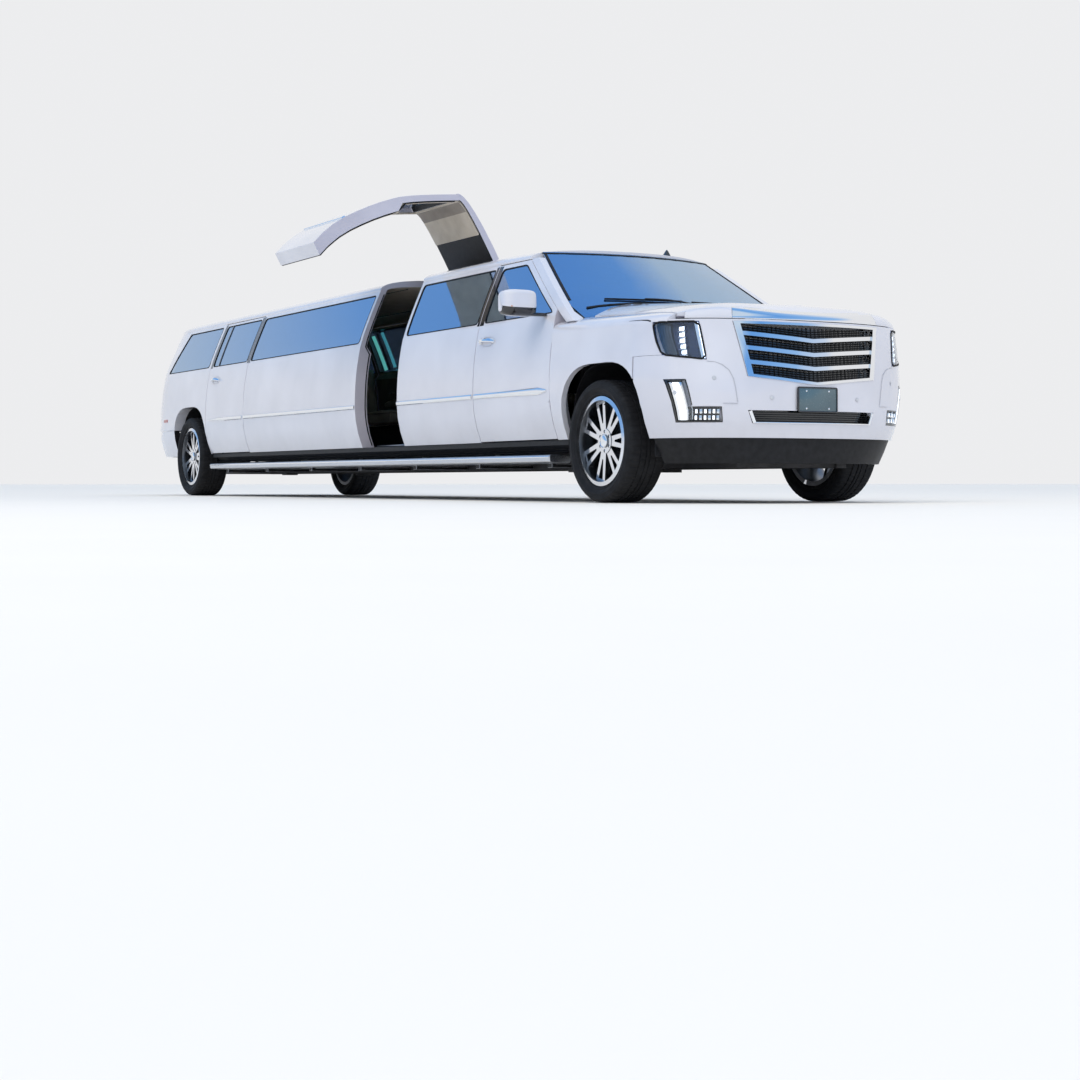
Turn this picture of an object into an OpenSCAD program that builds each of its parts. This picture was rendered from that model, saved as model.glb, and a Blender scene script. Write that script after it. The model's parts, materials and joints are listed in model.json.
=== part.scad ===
// Stretch limousine on a full-size utility chassis, with a roof-hinged side door.
// Millimetres. +X points to the nose, +Y to the left side, +Z up.
// The origin lies on the floor, on the centre plane, midway between the axles.

/* [Overall] */
// Distance between the front and rear axles
wheelbase = 8382; // [7600:1:9000]
// From the front axle to the nose
front_overhang = 1030; // [980:1:1080]
// From the rear axle to the tail
rear_overhang = 1369; // [1300:1:1440]
// Half of the body's width at its widest line
half_width = 1022; // [990:1:1050]
// Height of the roof's crown
roof_z = 1885; // [1860:1:1930]
// Height of the belt line, where the windows start
belt_z = 1292; // [1270:1:1310]
// Height of the body's lower edge
sill_z = 430; // [410:1:450]

/* [Wheels] */
// Radius of the tyre
tyre_r = 408; // [395:1:425]
// Width of the tyre
tyre_w = 285; // [255:1:305]
// Radius of the rim's outer lip
rim_r = 298; // [280:1:310]
// Distance between the left and right wheel centres
track = 1745; // [1700:1:1780]
// Number of split spokes in a rim
spokes = 7; // [5:1:9]
// Half of a wheel arch's width
arch_half = 512; // [500:1:530]
// Height of a wheel arch's top above the axle
arch_rise = 516; // [505:1:540]

/* [Panels] */
// Thickness of a door or side wall below the belt
door_t = 110; // [90:1:125]
// Thickness of a window frame or pillar
frame_t = 55; // [45:1:65]
// Thickness of the roof with its lining
roof_t = 58; // [50:1:70]
// Thickness of a fender, bumper or hood with its flange
skin_t = 38; // [30:1:45]
// Thickness of a window pane
glass_t = 8; // [5:1:10]
// Shut gap round a door or lid
shut_gap = 7; // [6:1:9]

/* [Doors] */
// Front axle to the leading edge of a front door
front_door_start = 654; // [640:1:690]
// Length of a front door
front_door_len = 1156; // [1100:1:1200]
// Front axle to the leading edge of the roof-hinged door
wing_door_start = 3167; // [3000:1:3300]
// Length of the roof-hinged door
wing_door_len = 849; // [800:1:950]
// Angle at which the roof-hinged door stands open
wing_open = 62; // [50:1:66]
// Length of a rear side door
rear_door_len = 1100; // [1000:1:1150]

/* [Hidden] */
$fn = 64;

// Clearance that keeps neighbouring fixed pieces from sharing material
seat_gap = 0.3;
// Clearance of a shaft in its bore
run_gap = 0.08;
// Length by which a cutter overshoots what it cuts
over = 60;

// Axles and ends
axle_f = wheelbase / 2;
axle_r = -wheelbase / 2;
nose_x = axle_f + front_overhang;
tail_x = axle_r - rear_overhang;
hub_z = tyre_r;
wheel_y = track / 2;

// Section of the body side: widest line, belt, roof rail
wide_z = 780;
sill_half = half_width - 72;
belt_half = half_width - 54;
rail_z = roof_z - 120;
rail_half = half_width - 240;
roof_power = 2.6;

// Plan of the nose and of the tail, as superellipses that start at these stations
nose_start = axle_f + 410;
nose_power = 2.4;
tail_start = axle_r - 490;
tail_power = 5;

// Section of the front clip above this height, as a superellipse
clip_z = 1080;
clip_power = 5;

// Places of the doors and panels along the body
front_door_f = axle_f - front_door_start;
front_door_r = front_door_f - front_door_len;
wing_f = axle_f - wing_door_start;
wing_r = wing_f - wing_door_len;
rear_door_r = axle_r + arch_half + 24;
rear_door_f = rear_door_r + rear_door_len;
hood_half = half_width - 170;
hood_rear = axle_f - 400;
hood_front_z = 1166;
bumper_top_z = 938;
fender_front = axle_f + 690;
bumper_low_z = 416;
rear_bumper_z = 690;
tailgate_half = half_width - 177;
tailgate_top = half_width - 382;
tailgate_t = 62;
crown_top = roof_z - 34;

// Side windows
window_low = belt_z + 22;
window_high = rail_z - 28;
window_round = 38;

// Windscreen line at its corners, in side view
screen_base_z = 1238;
screen_base = axle_f - 380;
screen_lean = 1.61;
screen_bow = 150;
screen_top_z = roof_z - 66;
pillar_w = 112;

// Floor and frame
floor_z = 440;
floor_t = 40;
floor_half = half_width - 202;
rear_floor_z = 680;
rail_y = 400;
rail_w = 80;
frame_low = 230;
frame_high = 350;

// Hinge line of the roof-hinged door
wing_hinge_y = -20;
wing_hinge_z = roof_z + 4;
wing_sleeve_r = 22;
wing_x0 = wing_r + shut_gap;
wing_x1 = wing_f - shut_gap;
wing_sleeves = [for (t = [0.16, 0.5, 0.84]) wing_x0 + (wing_x1 - wing_x0) * t];
wing_pin_r = 10;

// Hinges of the hood and of the tailgate
hood_hinge_x = axle_f - 356;
hood_hinge_y = 300;
hood_hinge_z = 1360;
tail_hinge_y = tailgate_top - 240;
tail_hinge_z = crown_top + 2;
tail_eye_r = 9;
lid_pin_r = 4;

function lerp(a, b, t) = a + (b - a) * t;
function steps(a, b, n) = [for (i = [0:n]) lerp(a, b, i / n)];
function ramp(a, b, x) = min(1, max(0, (x - a) / (b - a)));

// Points of a polygon whose corners are rounded by a curve that starts cut before each corner
function soft(pts, cut, n = 5) = [for (i = [0:len(pts) - 1])
    let (c = pts[i], p = pts[(i + len(pts) - 1) % len(pts)], q = pts[(i + 1) % len(pts)],
         a = (p - c) / norm(p - c), b = (q - c) / norm(q - c))
    for (k = [0:n]) c + a * cut * pow(1 - k / n, 2) + b * cut * pow(k / n, 2)];

// Half width of the body's section at a height
function section_half(z) = z < wide_z
    ? half_width - (half_width - sill_half) * pow((wide_z - z) / (wide_z - sill_z), 2)
    : z < belt_z
    ? half_width - (half_width - belt_half) * pow((z - wide_z) / (belt_z - wide_z), 2.2)
    : belt_half - (belt_half - rail_half) * pow((z - belt_z) / (rail_z - belt_z), 1.12);

// Foremost and rearmost stations at a height
function nose_at(z) = nose_x - 0.11 * max(0, z - 750) - 0.12 * max(0, 520 - z);
function tail_at(z) = z < rear_bumper_z ? tail_x : tail_x + 70 + 0.26 * max(0, z - belt_z);

// Share of the half width that is left towards the nose and the tail
function nose_share(x, z) = pow(1 - pow(ramp(nose_start, nose_at(z), x), nose_power), 1 / nose_power);
function tail_share(x, z) = pow(1 - pow(ramp(tail_start, tail_at(z), x), tail_power), 1 / tail_power);
function side_half(x, z) = section_half(z) * nose_share(x, z) * tail_share(x, z);

// Thickness of the side wall at a height
function wall(z) = lerp(door_t, frame_t, ramp(belt_z - 60, belt_z, z));

// Rise of the roof along the car
function roof_at(x) = roof_z - 52 * pow(ramp(axle_f - 2000, axle_f - 1150, x),
    2) - 45 * pow(ramp(axle_r - 300, tail_x, x), 2);

// Rise of the hood along the car, with its lip at the nose
function hood_at(x) = lerp(1288, 1226, ramp(hood_rear, nose_x - 150, x)) - 36 * pow(ramp(nose_x - 190,
    nose_x - 40, x), 2);

// A closed panel between an outer and an inner grid of points
module panel(us, vs, outer, inner) {
    nv = len(vs);
    count = len(us) * nv;
    points = [for (u = us) for (v = vs) outer(u, v), for (u = us) for (v = vs) inner(u, v)];
    last_u = len(us) - 1;
    last_v = nv - 1;
    quads = [
        for (i = [0:last_u - 1]) for (j = [0:last_v - 1])
            [i * nv + j, i * nv + j + 1, (i + 1) * nv + j + 1, (i + 1) * nv + j],
        for (i = [0:last_u - 1]) for (j = [0:last_v - 1])
            [count + i * nv + j, count + (i + 1) * nv + j, count + (i + 1) * nv + j + 1,
                count + i * nv + j + 1],
        for (i = [0:last_u - 1]) each [
            [i * nv, (i + 1) * nv, count + (i + 1) * nv, count + i * nv],
            [i * nv + last_v, count + i * nv + last_v, count + (i + 1) * nv + last_v,
                (i + 1) * nv + last_v]],
        for (j = [0:last_v - 1]) each [
            [j, count + j, count + j + 1, j + 1],
            [last_u * nv + j, last_u * nv + j + 1, count + last_u * nv + j + 1, count + last_u * nv + j]]];
    polyhedron(points, [for (q = quads) each [[q[0], q[1], q[2]], [q[0], q[2], q[3]]]]);
}

// Prism through the right side from an outline in side view
module through_side(points, from = 0, to = 1300)
    translate([0, -from, 0]) rotate([90, 0, 0]) linear_extrude(to - from) polygon(points);

// Prism through the nose from an outline in front view
module through_nose(points, from, to)
    translate([from, 0, 0]) rotate([90, 0, 90]) linear_extrude(to - from) polygon(points);

module both_sides() {
    children();
    mirror([0, 1, 0]) children();
}

// Heights at which the side wall is sampled
lower_zs = concat(steps(sill_z, belt_z - 60, 7), [belt_z]);
upper_zs = steps(belt_z, rail_z, 5);
wall_zs = concat(lower_zs, [for (i = [1:5]) upper_zs[i]]);

// Right side wall over a list of stations, from an outer to an inner depth
module side_wall(xs, zs = wall_zs, depth = 0)
    panel(xs, zs,
        function(x, z) [x, -side_half(x, z) + depth, z],
        function(x, z) [x, -side_half(x, z) + depth + wall(z), z]);

// Window pane of the right side, flush in its opening
module side_pane(xs, outline) intersection() {
    panel(xs, steps(window_low - 10, window_high + 10, 6),
        function(x, z) [x, -side_half(x, z) + 6, z],
        function(x, z) [x, -side_half(x, z) + 6 + glass_t, z]);
    through_side(outline);
}

// Outline of a side window between two stations, with a lean at each end
function window(xr, xf, lean_r = 0, lean_f = 0, inset = 0) = soft([
    [xr + inset, window_low + inset], [xf - inset, window_low + inset],
    [xf - inset - lean_f, window_high - inset], [xr + inset + lean_r, window_high - inset]], window_round);

// Outline of a wheel arch
function arch(x, grow = 0) = soft([
    [x - arch_half - grow, hub_z - 520], [x + arch_half + grow, hub_z - 520],
    [x + arch_half + grow, hub_z + arch_rise + grow], [x - arch_half - grow,
        hub_z + arch_rise + grow]], 400, 10);

// Front clip: side wall up to clip_z, then over the shoulder towards the hood
function clip_at(x, v, depth) = v <= 1
    ? let (z = lerp(sill_z, clip_z, v)) [x, -(side_half(x, z) - depth), z]
    : let (a = (v - 1) * 90, w = side_half(x, clip_z) - depth)
      [x, -sign(cos(a)) * w * pow(abs(cos(a)), 2 / clip_power),
       clip_z + (hood_at(x) - depth - clip_z) * pow(sin(a), 2 / clip_power)];

// The hood rises above its edges, most at the windscreen, and meets the bumper flush
hood_rise_rear = 100;
hood_rise_front = 62;
function hood_dome(y) = 1 - pow(min(1, abs(y) / hood_half), 4);
function hood_rise(x) = lerp(hood_rise_rear, hood_rise_front, ramp(hood_rear, nose_x - 330, x))
    * (1 - pow(ramp(nose_x - 330, nose_x - 95, x), 2));
function hood_point(x, v, depth) = let (p = clip_at(x, v, depth))
    [p[0], p[1], p[2] + hood_rise(x) * hood_dome(p[1])];

// Nose panel: an angle round the plan and a height
function nose_point(a, z, depth) =
    let (c = sign(cos(a)) * pow(abs(cos(a)), 2 / nose_power), s = pow(sin(a), 2 / nose_power))
    [nose_start + (nose_at(z) - nose_start) * s - depth * sin(a), -section_half(z) * c + depth * cos(a), z];

nose_angles = [2, 9, 18, 28, 39, 51, 64, 77, 90, 103, 116, 129, 141, 152, 162, 171, 178];

module nose_panel(angles, zs, from, to)
    panel(angles, zs, function(a, z) nose_point(a, z, from), function(a, z) nose_point(a, z, to));

// Tail panel: an angle round the plan from the left side to the right
function tail_point(a, z, depth) =
    let (c = sign(cos(a)) * pow(abs(cos(a)), 2 / tail_power), s = pow(sin(a), 2 / tail_power))
    [tail_start + (tail_at(z) - tail_start) * s + depth * sin(a), section_half(z) * c - depth * cos(a), z];

tail_angles = [0, 0.2, 2, 8, 18, 32, 45, 58, 74, 90, 106, 122, 135, 148, 162, 172, 178, 179.8, 180];

module tail_panel(angles, zs, from, to)
    panel(angles, zs, function(a, z) tail_point(a, z, from), function(a, z) tail_point(a, z, to));

// Outlines of the nose, in front view
grille_outline = [[-500, 804], [0, 756], [500, 804], [572, 1154], [-572, 1154]];
intake_half = half_width - 522;
intake_low_z = 508;
intake_high_z = 590;
intake_outline = [[30 - intake_half, intake_low_z], [intake_half - 30, intake_low_z],
    [intake_half, intake_high_z], [-intake_half, intake_high_z]];
function lamp_outline(grow) = [[-half_width - 78, 964 - grow], [280 - half_width + grow, 906 - grow],
    [253 - half_width + grow, 1152 + grow], [-half_width - 78, 1152 + grow]];
function lamp_limit(grow) = [[axle_f + 760 - grow, 780], [axle_f + 680 - grow, 935],
    [axle_f + 632 - grow, 1030], [axle_f + 600 - grow, 1120], [axle_f + 590 - grow, 1220],
    [nose_x + over, 1220], [nose_x + over, 780]];
function fog_outline(grow) = [[72 - half_width - grow, 785 + grow], [166 - half_width + grow, 785 + grow],
    [204 - half_width + grow, 612 + grow], [362 - half_width + grow, 612 + grow],
    [372 - half_width + grow, 512 - grow], [137 - half_width - grow, 512 - grow]];

module lamp_region(grow) intersection() {
    through_nose(lamp_outline(grow), axle_f + 300, nose_x + over);
    through_side(lamp_limit(grow));
}

module fog_region(grow) through_nose(fog_outline(grow), nose_start + 40, nose_x + over);

// Front bumper with its openings for the grille, intake and lamps
module front_bumper() color("white") difference() {
    nose_panel(nose_angles, [bumper_low_z, 520, 640, 750, 830, bumper_top_z, 1080, hood_front_z], 0,
        skin_t);
    both_sides() {
        through_side(arch(axle_f));
        through_side(arch(axle_f, 16), 500, 904);
        lamp_region(seat_gap);
        fog_region(seat_gap);
        through_side([[nose_start - over, bumper_top_z], [fender_front, bumper_top_z],
            [fender_front, hood_front_z + over], [nose_start - over, hood_front_z + over]]);
    }
    through_nose([for (p = grille_outline) [p[0] * 1.004, p[1]]], nose_start + 100, nose_x + over);
    through_nose(intake_outline, nose_start + 100, nose_x + over);
}

// Black carrier behind the nose: valance below the bumper, and the mesh behind the grille and intake
module front_carrier() color("black") {
    difference() {
        nose_panel(nose_angles, [256, 340, bumper_low_z - seat_gap], 20, 20 + skin_t);
        both_sides() through_side(arch(axle_f, 16));
    }
    intersection() {
        nose_panel([for (i = [3:13]) nose_angles[i]], [455, 600, 740, 804, 980, 1160],
            skin_t + 14, skin_t + 40);
        union() {
            through_nose([[-530, 800], [0, 748], [530, 800], [594, 1160], [-594, 1160]], nose_start,
                nose_x + over);
            through_nose([[-intake_half - 20, intake_low_z - 14], [intake_half + 20, intake_low_z - 14],
                [intake_half + 20, intake_high_z + 16], [-intake_half - 20, intake_high_z + 16]],
                nose_start, nose_x + over);
            through_nose([[-90, 540], [90, 540], [90, 800], [-90, 800]], nose_start, nose_x + over);
        }
    }
}

// Chrome grille: a frame and bars that dip towards the middle
grille_bars = [1070, 980, 890];
module grille() color("silver") {
    intersection() {
        nose_panel([for (i = [3:13]) nose_angles[i]], [740, 804, 980, 1160], -6, skin_t + 14 - seat_gap);
        difference() {
            through_nose(grille_outline, nose_start, nose_x + over);
            through_nose([for (p = grille_outline) [p[0] * 0.925, lerp(p[1], 965, 0.085)]], nose_start,
                nose_x + over);
        }
    }
    for (z = grille_bars) intersection() {
        panel(steps(-570, 570, 12), [0, 1],
            function(y, v) nose_bar(y, z + 26 * v, 4), function(y, v) nose_bar(y, z + 26 * v, 44));
        through_nose([for (p = grille_outline) [p[0] * 0.93, p[1]]], nose_start, nose_x + over);
    }
}

// A point of a grille bar at a width, dipping to the middle
function nose_bar(y, z, depth) =
    let (s = pow(1 - pow(abs(y) / section_half(z), nose_power), 1 / nose_power))
    [nose_start + (nose_at(z) - nose_start) * s - depth, y, z - 42 * (1 - abs(y) / 570)];

module front_lamps() color("lightblue") both_sides() {
    intersection() {
        nose_panel([for (i = [0:8]) nose_angles[i]], [850, 960, 1080, 1160], 1, 130);
        lamp_region(0);
    }
    intersection() {
        nose_panel([for (i = [0:8]) nose_angles[i]], [490, 600, 770], 1, 70);
        fog_region(0);
    }
}

// Fenders, cut by the wheel arch, the lamp and the bumper
module fender() difference() {
    fender_shell(0);
    through_side(arch(axle_f));
    lamp_region(seat_gap);
    through_side([[axle_f + arch_half - 80, 0], [nose_x, 0], [nose_x, bumper_top_z + 2],
        [axle_f + arch_half - 80, bumper_top_z + 2]]);
    translate([0, -hood_half - shut_gap / 2, clip_z]) cube([2 * nose_x, 2 * hood_half, 600]);
    through_side([[fender_front, 860], [nose_x, 860], [nose_x, 1400], [fender_front, 1400]]);
}
// Post behind a fender that carries the front door's hinges
module hinge_post() panel([front_door_f + shut_gap, front_door_f + shut_gap + 54], steps(sill_z + 4,
    clip_z - 40, 6),
    function(x, z) [x, -side_half(x, z) + 14, z], function(x, z) [x, -side_half(x, z) + door_t, z]);
module fenders() color("white") both_sides() {
    fender();
    hinge_post();
    hinge_pins(front_door_f);
}

// Hood over the engine, between the fenders
module hood() color("white") difference() {
    intersection() {
        panel(concat(steps(hood_rear, nose_x - 340, 7), steps(nose_x - 290, nose_x - 30, 6)),
            [1.35, 1.5, 1.62, 1.74, 1.86, 2, 2.14, 2.26, 2.38, 2.5, 2.65],
            function(x, v) hood_point(x, v, 0), function(x, v) hood_point(x, v, skin_t));
        translate([hood_rear - over, -hood_half + shut_gap / 2, 0])
            cube([nose_x, 2 * hood_half - shut_gap, 2000]);
    }
    // Rear edge, parallel to the windscreen
    translate([0, 0, 1100]) linear_extrude(400) polygon(concat(
        [for (y = steps(-hood_half - over, hood_half + over, 12))
            [screen_at(y, 1290 + hood_rise_rear * hood_dome(y), 0)[0] + 160 - 60 * hood_dome(y), y]],
        [[axle_f - 900, hood_half + over], [axle_f - 900, -hood_half - over]]));
    difference() {
        translate([axle_f + 500, -hood_half - over, 900]) cube([front_overhang,
            2 * hood_half + 2 * over, 500]);
        translate([0, 0, 800]) linear_extrude(700) polygon(concat([[0, -hood_half]],
            [for (a = nose_angles) let (p = nose_point(a, hood_front_z, skin_t + shut_gap)) [p[0],
                p[1]]], [[0, hood_half]]));
    }
    // Pockets and bores for the hinges
    for (y = [-hood_hinge_y, hood_hinge_y]) translate([hood_hinge_x, y, hood_hinge_z]) {
        translate([-22, -12, -60]) cube([126, 24, 70]);
        rotate([90, 0, 0]) cylinder(h = 72, r = lid_pin_r + run_gap, center = true);
    }
}

// Windscreen between the pillars, bowed towards the nose
function screen_x(z) = screen_base - (z - screen_base_z) * screen_lean;
function screen_half(z) = section_half(max(belt_z, z)) - wall(z) - 1;
function screen_at(y, z, depth) =
    [screen_x(z) + screen_bow * (1 - pow(y / screen_half(z), 2)) - depth * 0.53, y, z - depth * 0.85];
module windscreen() color("black") difference() {
    panel(steps(-1, 1, 10), steps(screen_base_z, screen_top_z, 5),
        function(u, z) screen_at(u * screen_half(z), z, 0),
        function(u, z) screen_at(u * screen_half(z), z, glass_t));
    both_sides() fender_shell(seat_gap);
}

// Strips of the side wall between the windscreen and the front doors
module pillar() difference() {
    intersection() {
        side_wall(steps(axle_f - 1320, screen_base + 20, 2), steps(screen_base_z - 4, rail_z, 7));
        through_side([[screen_x(screen_base_z - 10), screen_base_z - 10], [screen_x(rail_z), rail_z],
            [screen_x(rail_z) - pillar_w, rail_z], [screen_x(screen_base_z - 10) - pillar_w,
                screen_base_z - 10]]);
    }
    fender_shell(seat_gap);
}
module fender_shell(grow) panel(steps(front_door_f + shut_gap, fender_front + 20, 13),
    concat(steps(0, 1, 7), [1.06, 1.14, 1.24, 1.34, 1.44, 1.54, 1.64]),
    function(x, v) clip_at(x, v, -grow), function(x, v) clip_at(x, v, skin_t + grow));
module pillars() color("white") both_sides() pillar();

// Roof skin with its lining, over an angle from the right rail to the left one
function roof_point(x, a, depth) =
    let (w = side_half(x, rail_z) - depth * frame_t / roof_t)
    [x, -sign(cos(a)) * w * pow(abs(cos(a)), 2 / roof_power),
     rail_z + (roof_at(x) - depth - rail_z) * pow(sin(a), 2 / roof_power)];
module roof_shell(xs, angles)
    panel(xs, angles, function(x, a) roof_point(x, a, 0), function(x, a) roof_point(x, a, roof_t));
roof_angles = [0, 3, 8, 15, 24, 35, 48, 62, 76, 90, 104, 118, 132, 145, 156, 165, 172, 177, 180];

// Rear edge of the roof, over the tailgate
roof_rear = tail_at(crown_top) + tailgate_t + shut_gap;
// Edge of the roof over the windscreen, in plan
function header_at(y) = screen_at(y, screen_top_z, 0)[0] - 10;
module roof() color("white") {
    roof_skin();
    translate([wing_sleeves[0] - 70, wing_hinge_y, wing_hinge_z]) rotate([0, 90, 0])
        cylinder(h = wing_sleeves[2] - wing_sleeves[0] + 140, r = wing_pin_r);
    for (i = [0, 1]) translate([(wing_sleeves[i] + wing_sleeves[i + 1]) / 2 - 40, wing_hinge_y - 9,
        wing_hinge_z - 26])
        cube([80, wing_sleeve_r + 32, 35]);
    for (y = [-tail_hinge_y, tail_hinge_y]) at_tail_hinge(y) {
        linear_extrude(24, center = true)
            polygon([[0, -0.5], [85, -0.5], [85, -13], [132, -13], [132, 11], [0, tail_eye_r]]);
        cylinder(h = 24, r = tail_eye_r, center = true);
        cylinder(h = 76, r = lid_pin_r, center = true);
    }
}
// The tailgate's hinge line, outside its upper edge, with the axis along the second coordinate
tail_hinge_x = tail_at(crown_top) - 2;
module at_tail_hinge(y) translate([tail_hinge_x, y, tail_hinge_z]) rotate([90, 0, 0]) children();
module roof_skin() difference() {
    roof_shell(concat(steps(roof_rear, axle_r - 300, 6), steps(axle_f - 2000, axle_f - 1080, 5)),
        roof_angles);
    translate([0, 0, rail_z - over]) linear_extrude(400) polygon(concat(
        [for (y = steps(-rail_half - 20, rail_half + 20, 12)) [header_at(y), y]],
        [[nose_x, rail_half + 20], [nose_x, -rail_half - 20]]));
    translate([wing_r, -half_width, rail_z - over])
        cube([wing_door_len, half_width + wing_hinge_y + wing_sleeve_r + 3, 400]);
    tailgate_space();
}

// Fixed side walls
module side_front_right() color("white") difference() {
    side_wall([wing_f, front_door_r - shut_gap]);
    through_side(window(wing_f + 46, front_door_r - 46));
}
module side_rear_right() color("white") {
    difference() {
        side_wall([rear_door_f + shut_gap, wing_r]);
        through_side(window(rear_door_f + 46, wing_r - 46));
    }
    hinge_pins(rear_door_f);
}
module side_left() color("white") mirror([0, 1, 0]) {
    difference() {
        side_wall([rear_door_f + shut_gap, front_door_r - shut_gap]);
        through_side(window(rear_door_f + 46, wing_r - 30));
        through_side(window(wing_r + 30, wing_f - 30));
        through_side(window(wing_f + 30, front_door_r - 46));
    }
    hinge_pins(rear_door_f);
}

// Rear quarter panels
quarter_xs = concat(steps(tail_at(rail_z) + 8, tail_start, 9), [rear_door_r - shut_gap]);
module quarter_window(inset) through_side(window(tail_x + 330, rear_door_r - 60, 110, 0, inset));
module quarter() difference() {
    side_wall(quarter_xs);
    through_side(arch(axle_r));
    through_side(arch(axle_r, 16), 500, 904);
    quarter_window(0);
    through_side([[tail_x - over, 0], [axle_r - arch_half + 80, 0], [axle_r - arch_half + 80,
        rear_bumper_z + 3],
        [tail_x - over, rear_bumper_z + 3]]);
    tail_cut(seat_gap);
    tailgate_space();
}
// Everything behind the tail lamps' leading edge
// Front edge of the tail lamps, a lamp's width ahead of the tailgate's edge at the belt line
tail_lamp_w = 28;
tail_lamp_x = tail_edge(tailgate_half, belt_z) + tail_lamp_w;
function tail_edge(y, z) = tail_start + (tail_at(z) - tail_start)
    * pow(1 - pow(y / section_half(z), tail_power), 1 / tail_power);
module tail_cut(grow = 0) through_side([[tail_x - over, 0], [tail_lamp_x + grow, 0],
    [tail_lamp_x + grow, belt_z], [tail_lamp_x + grow + 0.26 * (rail_z - belt_z), rail_z],
    [tail_x - over, rail_z + over]], -50);
// Room for the tailgate, a shut gap wider than it
module tailgate_space() intersection() {
    tail_panel([for (a = tail_angles) if (a > 15 && a < 165) a],
        [rear_bumper_z + 8 - shut_gap, 900, 1100, belt_z, 1450, 1610, rail_z, crown_top + 20, roof_z + 90],
        -20, tailgate_t + shut_gap);
    tail_prism(concat([[-tailgate_half - shut_gap, 0], [tailgate_half + shut_gap, 0],
        [tailgate_half + shut_gap, belt_z], [tailgate_top + 4 * shut_gap, rail_z],
        [tailgate_top + 3 * shut_gap, roof_z + 80], [-tailgate_top - 3 * shut_gap, roof_z + 80],
        [-tailgate_top - 4 * shut_gap, rail_z], [-tailgate_half - shut_gap, belt_z]]));
}
module quarter_panels() color("white") both_sides() quarter();

module fixed_glass() color("black") {
    side_pane([wing_f, front_door_r], window(wing_f + 46, front_door_r - 46, 0, 0, 0.5));
    side_pane([rear_door_f, wing_r], window(rear_door_f + 46, wing_r - 46, 0, 0, 0.5));
    mirror([0, 1, 0]) {
        side_pane([rear_door_f, wing_r], window(rear_door_f + 46, wing_r - 30, 0, 0, 0.5));
        side_pane([wing_r, wing_f], window(wing_r + 30, wing_f - 30, 0, 0, 0.5));
        side_pane([wing_f, front_door_r], window(wing_f + 30, front_door_r - 46, 0, 0, 0.5));
    }
    both_sides() side_pane(concat(steps(tail_x + 300, tail_start, 6), [rear_door_r]),
        window(tail_x + 330, rear_door_r - 60, 110, 0, 0.5));
}

// Tail lamps: tall corner blades between the quarter panels and the tailgate
tail_zs = [rear_bumper_z + 3, 900, 1100, belt_z, 1450, 1610, rail_z];
module tail_lamps() color("red") both_sides() difference() {
    tail_panel([for (a = tail_angles) if (a > 90) a], tail_zs, 0, 90);
    tail_prism(tailgate_outline(shut_gap));
    difference() {
        translate([tail_x - over, -half_width - over, 0]) cube([1500, half_width, 2000]);
        tail_cut();
    }
}

module rear_bumper() color("white") difference() {
    tail_panel(tail_angles, [sill_z - 14, 500, 600, rear_bumper_z], 0, skin_t + 20);
    both_sides() {
        through_side(arch(axle_r));
        through_side(arch(axle_r, 16), 500, 904);
    }
    // Recess and two bores for a plate
    translate([tail_x - over, -165, 530]) cube([over + 20, 330, 130]);
    for (y = [-89, 89]) translate([tail_x - over, y, 620]) rotate([0, 90, 0]) cylinder(h = 200, r = 3.2);
}

// Tailgate and its pane; its upper edge follows the roof's crown
function crown_at(y) = roof_curve(roof_rear, y) - 3;
function roof_curve(x, y) = rail_z + (roof_at(x) - rail_z)
    * pow(max(0, 1 - pow(abs(y) / side_half(x, rail_z), roof_power)), 1 / roof_power);
function tailgate_outline(grow) = concat([[-tailgate_half - grow, 0], [tailgate_half + grow, 0],
    [tailgate_half + grow, belt_z]],
    [for (y = steps(tailgate_top + grow, -tailgate_top - grow, 12)) [y, min(crown_top, crown_at(y))]],
    [[-tailgate_half - grow, belt_z]]);
tailgate_glass_low = tailgate_half - 155;
tailgate_glass_high = tailgate_top - 50;
tailgate_window = [[-tailgate_glass_low, belt_z + 6], [tailgate_glass_low, belt_z + 6],
    [tailgate_glass_high, window_high - 20], [-tailgate_glass_high, window_high - 20]];
module tail_prism(points) translate([tail_x - over, 0, 0]) rotate([90, 0, 90]) linear_extrude(600)
    polygon(points);
module tailgate() color("white") difference() {
    union() {
        intersection() {
            tail_panel([for (a = tail_angles) if (a > 15 && a < 165) a],
                [rear_bumper_z + 8, 900, 1100, belt_z, 1450, 1610, rail_z, crown_top + 20], 0, tailgate_t);
            tail_prism(tailgate_outline(0));
        }
        for (y = tail_eyes) at_tail_hinge(y) {
            cylinder(h = 22, r = tail_eye_r, center = true);
            translate([0, -14, -11]) cube([40, 17, 22]);
        }
    }
    for (y = tail_eyes) at_tail_hinge(y) cylinder(h = 30, r = lid_pin_r + run_gap, center = true);
    tail_prism(soft(tailgate_window, 40));
}
tail_eyes = [for (y = [-tail_hinge_y, tail_hinge_y]) each [y - 25.5, y + 25.5]];
module tailgate_glass() color("black") intersection() {
    tail_panel([for (a = tail_angles) if (a > 15 && a < 165) a], [belt_z, 1450, 1610, window_high], 5,
        5 + glass_t);
    tail_prism(soft([for (p = tailgate_window) [p[0] * 0.9993, lerp(p[1], 1500, 0.002)]], 40));
}

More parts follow.
